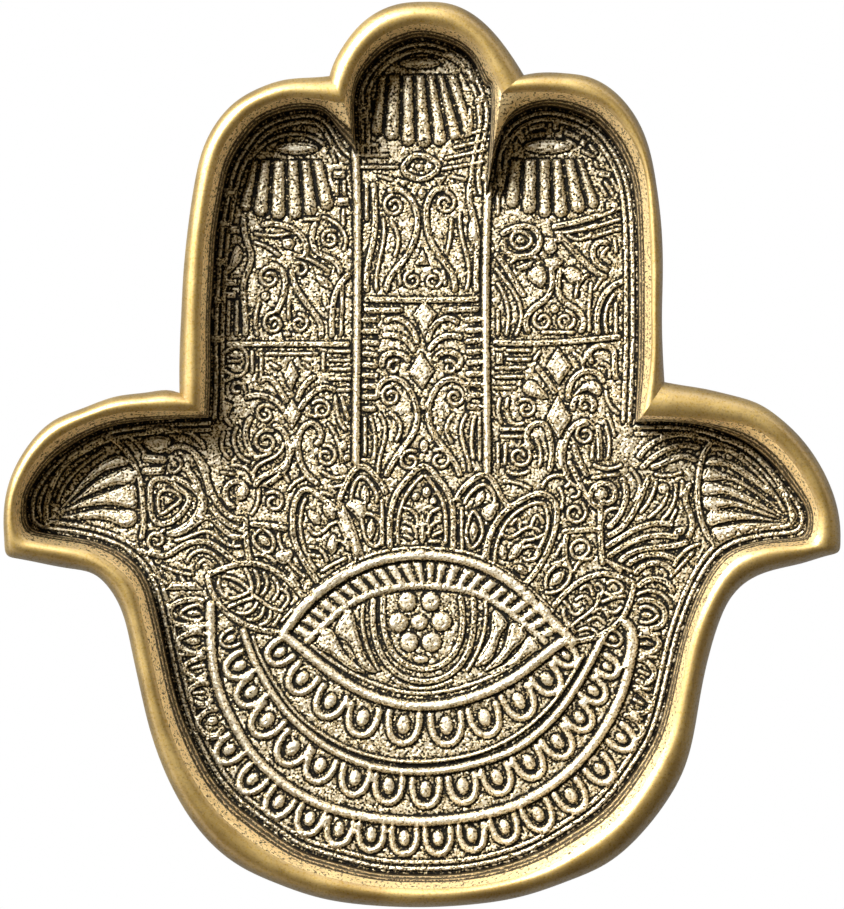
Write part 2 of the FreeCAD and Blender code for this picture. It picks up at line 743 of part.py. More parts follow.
MOTIF_SHARES["crescent_eye"] = {
    "bold": [[(-214, -197), (-205, -222), (-190, -250), (-169, -280), (-141, -307),
              (-108, -329), (-68, -345), (-20, -353), (22, -352), (70, -343),
              (110, -329), (141, -309), (167, -284), (188, -256), (207, -224),
              (220, -200)]],
    "fine": [[(-203, -203), (-192, -230), (-176, -256), (-156, -283), (-128, -306),
              (-98, -323), (-60, -336), (-20, -342), (20, -341), (62, -334),
              (100, -320), (132, -300), (158, -276), (178, -250), (194, -224)]],
}
MOTIF_SHARES["crescent_outer"] = {
    "lid": [[(-254, -168), (-254, -200), (-251, -235), (-242, -268), (-226, -300),
             (-205, -332), (-177, -359), (-142, -381), (-100, -397), (-50, -406),
             (0, -409), (50, -405), (100, -395), (142, -377), (178, -352),
             (206, -324), (228, -292), (243, -260), (252, -228), (254, -200),
             (246, -188)]],
    "fine": [[(248, -200), (247, -222), (240, -240)]],
}
MOTIF_SHARES["scallops_eye"] = {
    "loop": [
        (-173, -222, 13, 56), (-146, -252, 15, 40), (-112, -278, 16, 30),
        (-72, -297, 17, 15), (-22, -305, 18, 4), (30, -306, 18, -4),
        (77, -297, 17, -14), (119, -278, 17, -26), (153, -253, 15, -38),
        (176, -226, 11, -50),
    ],
}
MOTIF_SHARES["scallops_middle"] = {
    "loop": [
        (-222, -237, 14, 60), (-208, -267, 15, 50), (-189, -299, 17, 44),
        (-158, -330, 17, 38), (-124, -350, 16, 26), (-81, -364, 16, 12),
        (-40, -373, 16, 4), (5, -377, 16, 0), (50, -373, 16, -8),
        (92, -363, 16, -18), (131, -346, 16, -28), (166, -323, 16, -36),
        (192, -295, 14, -44), (209, -265, 13, -52), (226, -238, 11, -58),
    ],
    "small_loop": [(-232, -206, 10, 66), (232, -206, 9, -66)],
}
MOTIF_SHARES["scallops_outer"] = {
    "loop": [
        (-234, -331, 14, 50), (-206, -364, 14, 44), (-174, -390, 15, 36),
        (-136, -409, 15, 22), (-100, -421, 15, 12), (-61, -427, 15, 4),
        (-21, -431, 15, 2), (20, -431, 15, -2), (61, -427, 15, -6),
        (101, -418, 15, -16), (142, -404, 16, -26), (182, -383, 16, -34),
        (217, -353, 14, -42), (243, -318, 13, -50),
    ],
}
MOTIF_SHARES["side_loops_left"] = {
    "main": [
        [(-264, -163), (-288, -163), (-302, -172), (-300, -186), (-286, -190), (-262, -189)],
        [(-262, -200), (-282, -200), (-293, -208), (-284, -218), (-262, -217)],
        [(-262, -226), (-276, -230), (-286, -238), (-278, -246), (-260, -245)],
        [(-258, -255), (-272, -257), (-281, -266), (-272, -276), (-254, -274)],
        [(-248, -284), (-262, -288), (-269, -300), (-260, -311), (-240, -306)],
    ],
    "fine": [
        [(-264, -171), (-284, -172), (-290, -178), (-282, -183), (-264, -182)],
        [(-262, -235), (-276, -238)], [(-262, -265), (-274, -266)],
        [(-262, -194), (-286, -195)], [(-262, -222), (-290, -223)],
        [(-260, -251), (-284, -252)], [(-252, -280), (-274, -282)],
        [(-240, -314), (-258, -318)],
    ],
    "oval": [(-275, -208, 9, 4, 0), (-274, -177, 8, 3, 0), (-252, -297, 7, 5, 20)],
    "block": [[(-308, -151), (-300, -141), (-272, -142), (-262, -151)]],
}
MOTIF_SHARES["side_loops_right"] = {
    "main": [
        [(263, -163), (280, -164), (292, -174), (290, -188), (276, -194), (263, -194)],
        [(264, -202), (278, -203), (286, -211), (278, -219), (264, -219)],
        [(262, -228), (274, -233), (280, -244), (272, -254), (260, -252)],
        [(258, -262), (270, -270), (276, -280), (266, -288), (252, -282)],
        [(246, -291), (260, -298), (266, -308), (256, -316)],
    ],
    "fine": [
        [(264, -171), (278, -172), (284, -179), (276, -186), (264, -186)],
        [(264, -211), (276, -211)], [(262, -241), (272, -245)],
        [(264, -199), (286, -200)], [(262, -224), (282, -226)],
        [(256, -258), (274, -262)], [(256, -273), (266, -278)],
        [(250, -287), (264, -295)],
    ],
    "oval": [(271, -179, 7, 3, 0)],
}

MOTIF_SHARES["feathers_left"] = {
    "main": [
        [(-378, 20), (-362, 10), (-348, -8), (-339, -28), (-336, -50), (-334, -72),
         (-337, -92)],
        [(-450, -78), (-452, -60), (-446, -38), (-432, -14), (-410, 4), (-386, 16)],
    ],
    "fine": [
        [(-438, -52), (-428, -32), (-408, -12), (-384, 4)],
        [(-352, 20), (-340, 10), (-330, -4)],
        [(-366, -100), (-354, -106), (-346, -114)], [(-344, -100), (-338, -110)],
        [(-336, -106), (-326, -112)],
    ],
    "blob": [
        [(-434, -60), (-413, -35), (-393, -15), (-373, -3), (-359, -2), (-352, -8),
         (-372, -16), (-394, -27), (-416, -45)],
        [(-426, -57), (-408, -43), (-388, -28), (-368, -19), (-350, -14), (-344, -22),
         (-345, -31), (-366, -34), (-390, -41), (-410, -49)],
        [(-432, -63), (-410, -53), (-388, -45), (-366, -38), (-345, -35), (-342, -48),
         (-343, -59), (-366, -57), (-392, -57), (-414, -60)],
        [(-434, -69), (-410, -65), (-384, -61), (-362, -62), (-345, -64), (-343, -74),
         (-352, -81), (-374, -75), (-402, -72), (-424, -72)],
    ],
}
MOTIF_SHARES["feathers_right"] = {
    "main": [
        [(350, 14), (340, 2), (334, -20), (332, -42), (334, -64), (341, -84), (352, -100)],
        [(446, -72), (440, -50), (426, -26), (408, -6), (386, 10), (362, 18)],
    ],
    "fine": [
        [(436, -62), (418, -36), (394, -12), (368, 4), (350, 6)],
    ],
    "blob": [
        [(432, -52), (405, -27), (380, -11), (360, -4), (347, -4), (342, -10), (362, -13),
         (382, -21), (405, -36)],
        [(432, -62), (402, -40), (380, -27), (360, -19), (342, -15), (338, -27),
         (362, -28), (386, -35), (410, -49)],
        [(434, -69), (408, -54), (386, -42), (362, -34), (338, -33), (338, -44),
         (358, -44), (378, -48), (400, -57)],
        [(428, -70), (404, -60), (378, -52), (356, -48), (339, -49), (340, -59),
         (368, -59), (400, -64)],
        [(436, -75), (412, -70), (392, -66), (368, -63), (345, -65), (344, -78),
         (362, -76), (384, -73), (408, -73)],
        [(436, -77), (404, -76), (382, -77), (362, -80), (349, -84), (355, -97),
         (372, -90), (392, -84), (414, -80)],
    ],
}
MOTIF_SHARES["strapwork_left"] = {
    "bold": [[(-332, -4), (-312, -6)], [(-332, -19), (-314, -18)]],
    "main": [
        [(-320, -28), (-306, -28), (-292, -38), (-280, -48), (-286, -62), (-300, -74),
         (-318, -76), (-326, -62), (-327, -44), (-320, -28)],
        [(-298, -26), (-278, -36), (-266, -50), (-272, -68), (-288, -82), (-304, -88)],
        [(-304, 4), (-294, 9), (-280, 6), (-268, -4), (-258, -18)],
    ],
    "fine": [
        [(-314, -42), (-302, -40), (-290, -49), (-302, -60), (-314, -66), (-317, -52),
         (-314, -42)],
        [(-304, -12), (-298, -20), (-290, -14), (-294, -4)],
        [(-286, -16), (-276, -22), (-268, -34)],
        [(-330, 26), (-300, 28), (-276, 22), (-262, 8)],
        [(-318, -90), (-310, -84)],
    ],
    "block": [[(-309, -46), (-297, -51), (-309, -57)]],
    "blob": [[(-334, 16), (-318, 21), (-302, 16), (-306, 5), (-320, 2)]],
}
MOTIF_SHARES["strapwork_right"] = {
    "main": [
        [(262, -2), (280, 14), (304, 22), (330, 21)],
        [(266, -14), (284, 0), (306, 9), (332, 8)],
        [(278, -14), (294, -8), (312, -2), (328, -6)],
        [(322, -34), (318, -52), (325, -72), (322, -90)],
        [(226, -90), (248, -74), (262, -50), (272, -28)],
        [(224, -102), (248, -88), (274, -78), (300, -78)],
        [(226, -113), (250, -99), (276, -91), (306, -92)],
        [(240, -118), (264, -106), (292, -103), (318, -98)],
        [(258, -132), (270, -123), (286, -121), (302, -132)],
        [(262, -146), (276, -139), (292, -141), (302, -152)],
        [(250, -122), (264, -114), (284, -111), (304, -116)],
    ],
    "fine": [
        [(260, -156), (276, -152), (292, -158), (300, -170)],
        [(222, -118), (236, -124), (252, -130)],
        [(252, -16), (262, -32), (256, -52)], [(228, -122), (240, -130)],
        [(282, -32), (276, -48), (264, -64)], [(296, -44), (288, -58), (274, -70)],
        [(306, -34), (304, -52), (290, -72)], [(314, -30), (312, -46)],
        [(306, -62), (300, -74)], [(282, -22), (296, -24), (312, -20)],
        [(304, -124), (316, -108), (334, -100)], [(300, -136), (312, -124), (326, -110)],
        [(306, -84), (316, -82)],
    ],
    "oval": [(291, -38, 7, 6, 0), (310, -86, 7, 4, 10)],
}
MOTIF_SHARES["wave_bands_left"] = {
    "main": [
        [(-302, -88), (-280, -82), (-256, -70), (-238, -84), (-218, -92)],
        [(-326, -108), (-306, -112), (-288, -102), (-262, -97), (-242, -106), (-222, -122)],
        [(-282, -12), (-270, -36), (-262, -52), (-274, -76)],
        [(-252, -60), (-238, -74), (-216, -84)],
    ],
    "coil": [(-318, -96, 13, 280, -360)],
    "fine": [
        [(-296, -96), (-276, -90), (-256, -86), (-240, -96), (-218, -102)],
        [(-282, -120), (-276, -111), (-262, -107), (-248, -113), (-240, -122)],
        [(-270, -126), (-262, -118), (-252, -124)],
        [(-312, -124), (-296, -130), (-276, -134)], [(-322, -134), (-306, -144)],
        [(-272, -4), (-262, -24), (-256, -44)], [(-290, -136), (-280, -148)],
    ],
}

MOTIF_SHARES["panel_bars"] = {
    "main": [
        [(-232, 123), (-160, 123), (-90, 123)],
        [(-66, 173), (0, 172), (66, 173)], [(-66, 161), (-26, 161)], [(28, 161), (66, 162)],
        [(89, 125), (140, 124), (180, 126), (236, 131)],
    ],
}

MOTIF_SHARES["left_finger_crown"] = {
    "oval": [(-150, 341, 26, 7, 0)],
    "fine": [
        [(-196, 340), (-180, 351), (-158, 357), (-136, 355), (-118, 345)],
        [(-206, 330), (-196, 340)], [(-108, 338), (-104, 326)],
    ],
}
MOTIF_SHARES["left_finger_flutes"] = {
    "flutes": [((-205, -195, -180, -163, -147, -133, -118),
                (-220, -204, -183, -162, -143, -124, -104),
                328, (271, 265, 262, 262, 266, 272))],
}
MOTIF_SHARES["left_finger_frets"] = {
    "block": [
        [(-238, 297), (-224, 297), (-224, 287), (-238, 287)],
        [(-244, 261), (-232, 261), (-232, 252), (-244, 252)],
        [(-230, 255), (-219, 255), (-219, 246), (-230, 246)],
        [(-248, 219), (-235, 219), (-235, 211), (-248, 211)],
        [(-250, 176), (-237, 176), (-237, 168), (-250, 168)],
        [(-253, 133), (-240, 133), (-240, 125), (-253, 125)],
        [(-106, 316), (-92, 316), (-92, 308), (-106, 308)],
        [(-101, 286), (-88, 286), (-88, 277), (-101, 277)],
        [(-234, 195), (-222, 195), (-222, 188), (-234, 188)],
        [(-235, 181), (-224, 181), (-224, 174), (-235, 174)],
    ],
    "fine": [
        [(-102, 304), (-102, 290)], [(-93, 304), (-93, 290)],
        [(-228, 283), (-229, 262)], [(-232, 170), (-233, 134)], [(-222, 170), (-223, 134)],
        [(-94, 272), (-94, 256)],
    ],
    "blob": [[(-220, 232), (-216, 224), (-224, 208), (-236, 200), (-232, 212), (-228, 224)]],
}
MOTIF_SHARES["left_finger_lyre"] = {
    "main": [
        [(-214, 262), (-211, 240), (-205, 216), (-213, 196), (-214, 172), (-212, 134)],
        [(-190, 256), (-162, 254), (-142, 240), (-140, 222)],
        [(-128, 256), (-132, 240), (-126, 226), (-110, 218), (-98, 204)],
        [(-180, 211), (-168, 204), (-164, 189), (-168, 172), (-174, 160)],
        [(-156, 204), (-150, 184), (-140, 170), (-130, 158), (-122, 146), (-121, 133)],
        [(-88, 200), (-104, 178), (-108, 156), (-108, 133)],
    ],
    "fine": [
        [(-200, 246), (-172, 244), (-160, 246)], [(-118, 264), (-100, 255), (-93, 246), (-94, 228)],
        [(-200, 236), (-184, 230), (-172, 222)], [(-96, 190), (-96, 160), (-97, 134)],
        [(-196, 168), (-200, 150), (-198, 134)], [(-152, 222), (-128, 214), (-112, 204)],
        [(-160, 170), (-160, 152)], [(-140, 262), (-124, 262)],
    ],
    "coil": [(-183, 197, 13, 70, 420), (-178, 146, 13, 90, 420), (-147, 146, 11, 90, -420),
             (-110, 240, 11, 60, 420), (-146, 206, 9, 120, -340)],
    "leaf": [(-128, 200, -106, 184, 5), (-118, 180, -112, 160, 4)],
    "block": [[(-168, 239), (-158, 241), (-152, 236), (-156, 228), (-166, 230)]],
    "oval": [(-188, 176, 5, 5, 0), (-162, 134, 5, 3, 0)],
}
MOTIF_SHARES["left_finger_palmette"] = {
    "fine": [
        [(-236, 114), (-212, 114), (-212, 93), (-236, 93)], [(-232, 104), (-220, 104)],
        [(-193, 86), (-193, 112)], [(-186, 112), (-126, 112)], [(-118, 112), (-118, 94)],
        [(-110, 115), (-87, 115)], [(-110, 105), (-87, 105)], [(-110, 95), (-87, 95)],
        [(-204, 114), (-204, 92)], [(-110, 84), (-87, 84)],
        [(-100, 72), (-87, 72)], [(-240, 80), (-228, 86)],
        [(-182, 102), (-172, 96)], [(-134, 96), (-142, 102)],
        [(-96, 62), (-92, 50), (-88, 40)], [(-104, 64), (-102, 50), (-98, 36), (-92, 28)],
    ],
    "main": [
        [(-163, 60), (-172, 74), (-182, 84), (-194, 82)],
        [(-166, 50), (-180, 62), (-194, 66), (-210, 64)],
        [(-149, 62), (-142, 76), (-130, 86)],
        [(-146, 52), (-134, 66), (-120, 74), (-106, 72)],
    ],
    "coil": [(-188, 45, 12, 40, 400), (-121, 50, 12, 140, -400), (-222, 73, 9, 0, 300)],
    "block": [
        [(-157, 105), (-148, 88), (-157, 71), (-166, 88)],
        [(-156, 62), (-145, 45), (-156, 28), (-167, 45)],
    ],
    "blob": [[(-236, 60), (-228, 52), (-232, 40), (-226, 30), (-236, 36), (-240, 48)]],
}
MOTIF_SHARES["left_finger_scrolls"] = {
    "main": [
        [(-176, 32), (-164, 22), (-160, 4), (-162, -12), (-172, -24), (-188, -34)],
        [(-126, 12), (-122, 26), (-132, 35), (-144, 28), (-149, 10), (-146, -8),
         (-138, -22), (-126, -32)],
        [(-206, 40), (-212, 24), (-208, 8), (-198, -4)],
    ],
    "coil": [(-187, 14, 15, 60, 440), (-115, -2, 13, 100, -400)],
    "fine": [
        [(-118, -20), (-106, -26), (-92, -24)], [(-112, 34), (-104, 22), (-98, 6), (-96, -8)],
        [(-222, 30), (-226, 14), (-220, 0), (-208, -8)], [(-238, 24), (-240, 8), (-232, -4)],
        [(-136, 44), (-126, 42)], [(-92, -34), (-104, -36)],
        [(-120, -42), (-108, -46)],
    ],
    "oval": [(-94, 10, 4, 6, 0), (-90, -4, 4, 4, 0)],
}

MOTIF_SHARES["middle_finger_crown"] = {
    "oval": [(-2, 436, 24, 6, 0)],
    "fine": [[(-50, 428), (-40, 438), (-28, 446)], [(54, 428), (44, 440), (30, 447)],
             [(-58, 418), (-52, 428)], [(62, 416), (56, 428)]],
}
MOTIF_SHARES["middle_finger_flutes"] = {
    "flutes": [((-52, -41, -24, -9, 5, 17, 28, 44),
                (-62, -46, -25, -7, 13, 31, 48, 62),
                423, (355, 350, 344, 342, 344, 350, 356))],
}
MOTIF_SHARES["middle_finger_frets"] = {
    "block": [
        [(-76, 382), (-64, 382), (-64, 374), (-76, 374)],
        [(64, 398), (76, 402), (76, 393), (64, 389)],
    ],
    "fine": [
        [(-71, 400), (-71, 386)], [(-64, 400), (-63, 386)], [(-71, 370), (-71, 352)],
        [(-64, 370), (-64, 352)], [(-74, 345), (-54, 345)], [(-74, 333), (-42, 333)],
        [(-72, 320), (-30, 320)], [(58, 384), (60, 366)], [(68, 388), (71, 366)],
        [(48, 354), (76, 362)], [(40, 342), (76, 350)], [(30, 330), (76, 339)],
        [(26, 318), (74, 326)],
    ],
    "main": [[(-14, 330), (8, 331), (20, 321), (10, 310), (-12, 309), (-22, 319), (-14, 330)]],
    "oval": [(-3, 320, 5, 4, 0)],
}
MOTIF_SHARES["middle_finger_lyre"] = {
    "main": [
        [(-38, 294), (-24, 294), (-10, 280), (-5, 256), (-10, 236), (-22, 216), (-36, 200),
         (-42, 184)],
        [(30, 296), (18, 295), (7, 280), (6, 256), (12, 236), (24, 218), (36, 202),
         (40, 184)],
        [(-58, 300), (-56, 270), (-58, 240), (-64, 215), (-66, 184)],
        [(60, 306), (58, 280), (66, 250), (66, 215), (66, 184)],
    ],
    "fine": [
        [(-46, 262), (-46, 238), (-52, 212), (-54, 184)],
        [(-36, 258), (-28, 240), (-32, 222)], [(36, 262), (34, 240), (30, 224)],
        [(46, 268), (48, 244), (56, 214), (54, 184)],
        [(-66, 300), (-66, 262)], [(-28, 206), (-26, 190)], [(26, 204), (28, 190)],
        [(-50, 310), (-36, 306)], [(36, 310), (52, 306)],
    ],
    "coil": [(-33, 277, 13, 100, 420), (28, 280, 13, 80, -420), (-11, 194, 11, 100, 400),
             (14, 194, 11, 80, -400)],
    "block": [
        [(-30, 308), (-14, 304), (-22, 298)], [(14, 308), (30, 310), (22, 299)],
        [(0, 298), (5, 291), (0, 284), (-5, 291)], [(1, 229), (9, 211), (-8, 211)],
    ],
    "leaf": [(62, 232, 60, 262, 5)],
}
MOTIF_SHARES["middle_finger_palmette"] = {
    "block": [
        [(3, 172), (18, 156), (3, 130), (-10, 156)],
        [(-1, 114), (15, 93), (1, 72), (-16, 92)],
    ],
    "main": [
        [(-69, 150), (-54, 150)], [(-69, 137), (-54, 137)], [(-69, 125), (-54, 124)],
        [(-69, 112), (-56, 111)], [(-69, 100), (-56, 99)], [(-69, 88), (-55, 88)],
        [(-69, 76), (-55, 76)], [(-69, 64), (-56, 64)], [(-69, 51), (-58, 51)],
        [(55, 150), (70, 151)], [(56, 138), (70, 139)], [(56, 126), (70, 127)],
        [(57, 114), (70, 115)], [(57, 102), (70, 103)], [(56, 90), (70, 90)],
        [(55, 78), (70, 78)], [(56, 66), (70, 66)], [(58, 53), (70, 53)],
        [(-6, 126), (-12, 140), (-24, 150), (-42, 149)],
        [(-10, 117), (-22, 129), (-44, 133)],
        [(-17, 106), (-30, 113), (-44, 110), (-48, 100)],
        [(8, 128), (14, 142), (26, 151), (42, 148)],
        [(10, 118), (26, 131), (46, 131)],
        [(17, 106), (30, 114), (46, 108), (44, 97)],
    ],
    "coil": [(-33, 97, 9, 60, 300), (34, 97, 9, 120, -300)],
}
MOTIF_SHARES["middle_finger_scrolls"] = {
    "main": [
        [(-52, 66), (-50, 78), (-38, 85), (-22, 80), (-10, 64), (-5, 42), (-10, 24),
         (-22, 8), (-34, -8), (-42, -22)],
        [(56, 62), (52, 76), (40, 84), (24, 80), (12, 64), (8, 44), (13, 26),
         (24, 10), (36, -4), (46, -22)],
    ],
    "fine": [
        [(-62, 42), (-56, 20), (-58, -4)], [(-50, 44), (-44, 20), (-50, -2), (-52, -20)],
        [(-38, 46), (-26, 34), (-30, 16)], [(64, 42), (60, 20), (62, -4)],
        [(54, 44), (48, 20), (54, 0), (58, -18)], [(38, 44), (30, 30), (36, 14)],
        [(-68, 40), (-68, 0)], [(70, 40), (70, -6)],
    ],
    "coil": [(-37, 65, 12, 90, 420), (40, 64, 12, 90, -420), (-14, -7, 13, 60, 400),
             (22, -6, 13, 120, -400)],
    "oval": [(3, 9, 5, 7, 0), (2, 56, 4, 7, 0)],
}

MOTIF_SHARES["right_finger_crown"] = {
    "oval": [(152, 343, 29, 8, 0)],
    "block": [
        [(112, 358), (119, 364), (126, 350), (120, 346)],
        [(129, 366), (148, 370), (148, 364), (129, 360)],
        [(130, 357), (148, 360), (148, 354), (132, 352)],
        [(158, 370), (166, 370), (164, 361), (158, 362)],
        [(172, 363), (192, 355), (190, 349), (171, 357)],
        [(193, 353), (199, 349), (196, 342), (190, 346)],
    ],
    "fine": [[(104, 352), (98, 340)], [(176, 350), (184, 345)], [(203, 344), (210, 336)],
             [(108, 344), (104, 330)]],
}
MOTIF_SHARES["right_finger_flutes"] = {
    "flutes": [((106, 122, 140, 156, 170, 185, 195),
                (99, 119, 140, 157, 178, 199, 214),
                329, (275, 268, 264, 264, 269, 274))],
}
MOTIF_SHARES["right_finger_frets"] = {
    "block": [
        [(212, 310), (216, 316), (228, 314), (226, 308)],
        [(222, 281), (236, 281), (236, 273), (222, 273)],
        [(206, 330), (211, 326), (215, 318), (209, 320)],
    ],
    "fine": [
        [(194, 338), (206, 332)], [(214, 301), (222, 289)], [(221, 303), (230, 290)],
        [(229, 306), (236, 294)], [(216, 266), (238, 274)], [(204, 252), (238, 262)],
        [(204, 242), (238, 251)], [(94, 320), (94, 300)], [(92, 290), (92, 268)],
    ],
}
MOTIF_SHARES["right_finger_lyre"] = {
    "main": [
        [(160, 254), (186, 259), (212, 266)],
        [(166, 244), (180, 230), (192, 218), (206, 206), (220, 198)],
        [(98, 246), (114, 253), (134, 252), (142, 240), (138, 227), (120, 220),
         (104, 224), (98, 236)],
        [(222, 236), (208, 232), (206, 222), (212, 212), (222, 206)],
        [(156, 206), (157, 190), (150, 174), (136, 164), (126, 152), (128, 138)],
        [(168, 206), (164, 190), (168, 174), (182, 164), (194, 152), (192, 138)],
        [(90, 222), (102, 208), (112, 192), (122, 178)],
        [(240, 192), (220, 178), (213, 164), (212, 136)],
    ],
    "fine": [
        [(162, 247), (190, 250), (210, 256)], [(176, 244), (194, 240), (204, 246)],
        [(110, 245), (124, 247), (132, 238), (124, 230), (112, 232), (110, 245)],
        [(232, 240), (234, 226)], [(224, 230), (218, 221), (226, 214)],
        [(108, 214), (126, 222), (140, 218)], [(90, 206), (104, 190), (114, 176), (114, 134)],
        [(92, 190), (100, 176), (102, 134)], [(92, 160), (92, 134)],
        [(150, 240), (166, 238)], [(232, 178), (224, 166), (223, 136)],
        [(234, 168), (234, 136)], [(200, 200), (188, 188), (186, 176)],
        [(204, 190), (202, 172), (202, 138)], [(216, 196), (208, 184)],
        [(146, 136), (164, 136), (182, 136)],
    ],
    "coil": [(146, 149, 12, 100, 420), (173, 149, 12, 80, -420)],
    "oval": [(155, 231, 8, 8, 0), (119, 239, 5, 4, 0), (160, 162, 5, 5, 0),
             (218, 222, 3, 5, 0)],
    "block": [
        [(147, 217), (162, 220), (170, 214), (160, 204), (151, 209)],
        [(113, 209), (134, 216), (132, 209), (118, 204)],
    ],
    "blob": [[(130, 204), (146, 208), (150, 196), (144, 186), (136, 190)],
             [(172, 206), (184, 208), (194, 196), (182, 190), (174, 196)]],
}
MOTIF_SHARES["right_finger_palmette"] = {
    "block": [
        [(164, 119), (180, 98), (165, 77), (150, 98)],
        [(164, 66), (180, 41), (165, 17), (150, 41)],
        [(90, 113), (98, 113), (98, 101), (90, 101)],
    ],
    "main": [
        [(160, 70), (150, 84), (140, 96)],
        [(177, 62), (180, 80), (194, 92), (210, 91), (218, 82)],
        [(182, 52), (192, 64), (206, 60), (206, 50)],
        [(204, 104), (204, 117), (230, 117), (232, 104), (234, 86)],
    ],
    "blob": [
        [(181, 64), (190, 74), (204, 82), (216, 74), (214, 66), (202, 70), (190, 68)],
        [(152, 64), (142, 76), (128, 82), (122, 74), (134, 64)],
    ],
    "fine": [
        [(90, 96), (124, 97)], [(90, 86), (122, 87)], [(90, 74), (112, 74)],
        [(104, 116), (130, 116)], [(104, 106), (130, 106)], [(136, 106), (142, 114)],
        [(216, 101), (222, 100), (226, 86)], [(222, 70), (226, 56), (236, 46)],
        [(94, 62), (92, 48), (96, 36)], [(104, 62), (103, 46), (108, 36), (122, 35)],
        [(184, 112), (192, 106), (194, 96)], [(198, 114), (196, 104)],
        [(224, 44), (228, 34), (232, 22)],
    ],
    "coil": [(126, 51, 12, 130, -380), (196, 55, 8, 20, 300)],
}
MOTIF_SHARES["right_finger_scrolls"] = {
    "main": [
        [(132, 8), (126, 20), (132, 32), (146, 34), (154, 20), (157, 0), (154, -16)],
        [(206, 30), (196, 37), (182, 30), (172, 12), (170, -6), (175, -22)],
        [(168, 14), (164, 0), (166, -14)],
        [(184, 8), (190, -8), (198, -22)],
        [(212, 30), (214, 12), (214, -4)],
    ],
    "coil": [(197, 22, 12, 90, 400), (118, -2, 14, 70, -420)],
    "fine": [
        [(96, 28), (122, 28)], [(96, 20), (120, 20)], [(92, 12), (92, -14)],
        [(101, 10), (100, -10)], [(104, -19), (118, -22), (128, -19)],
        [(138, 16), (143, 4), (142, -12)], [(206, 10), (205, -4)],
        [(222, 30), (226, 12), (224, -4)], [(100, -30), (116, -32), (130, -38)],
    ],
}

# pieces that stand higher or lower than the rest
HIGH_PIECES = ["divider_left", "divider_right", "eye_lid_upper", "eye_lid_lower",
               "crescent_outer", "crescent_eye"]
LOW_PIECES = ["eye_lashes", "eye_crescents"]


def foot_points(span, inset):
    """Points a distance inside the wall foot, folded ones left out."""
    foot = spline([place(row[4], row[5]) for row in span], run_lengths(span))
    steps = BORDER_SAMPLES * (len(span) - 1)
    first, last = foot.FirstParameter, foot.LastParameter
    marks = [first + (last - first) * i / steps for i in range(steps + 1)]
    chain = [foot.value(mark) for mark in marks]
    moved = []
    for mark, point in zip(marks, chain):
        along = foot.tangent(mark)[0]
        moved.append(point + vector(along.y, -along.x) * inset)
    return clear_points(moved, chain, inset)


def border_line(inset):
    """Thin raised line that follows the wall foot round each span."""
    lines = [thinned(foot_points(span, inset)) for span in OUTLINE_SPANS]
    return [ribbon(line, BORDER_LINE, 1) for line in lines]


def thinned(points):
    """Points no closer together than a border line is wide."""
    kept = [points[0]]
    for point in points[1:]:
        if point.distanceToPoint(kept[-1]) > BORDER_LINE * BORDER_STEP_SHARE:
            kept.append(point)
    return kept


def joined(faces):
    """One flat shape out of faces that may overlap."""
    if len(faces) == 1:
        return faces[0]
    return Part.makeShell(faces[0].multiFuse(faces[1:]).Faces).removeSplitter()


def near(first, second):
    return first.BoundBox.intersect(second.BoundBox)


def raised_piece(flat, height, field, taken):
    """Raised piece on the floor, kept off the wall and the pieces before it."""
    shape = flat.common(field)
    solids = []
    for face in shape.Faces:
        close = [other for other in taken if near(face, other)]
        rest = face.cut(close).Faces if close else [face]
        solids += [part.extrude(vector(0, 0, height))
                   for part in rest if part.Area > SMALLEST_ISLAND_SIDE ** 2]
    return solids


def height_of(name):
    if name in HIGH_PIECES:
        return HIGH_RELIEF
    if name in LOW_PIECES:
        return LOW_RELIEF
    return RELIEF


def save(name, shape):
    shape.exportStep("parts/" + name + ".step")


def build():
    os.makedirs("parts", exist_ok=True)
    save("rim_and_wall", rim_and_wall())
    save("floor_plate", floor_plate())
    for name, (u, v) in PAD_SHARES.items():
        save(name, pad(u, v))
    field = floor_face(FLOOR_Z)
    taken = []
    flats = {name: joined(motif_faces(motif)) for name, motif in MOTIF_SHARES.items()}
    for name, flat in flats.items():
        solids = raised_piece(flat, height_of(name), field, taken)
        save(name, Part.makeCompound(solids))
        taken += flat.Faces
    for name, inset in (("border_line_outer", OUTER_BORDER_INSET),
                        ("border_line_inner", INNER_BORDER_INSET)):
        flat = joined(border_line(inset))
        save(name, Part.makeCompound(raised_piece(flat, LOW_RELIEF, field, taken)))
        taken += flat.Faces


build()
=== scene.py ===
import json
import math

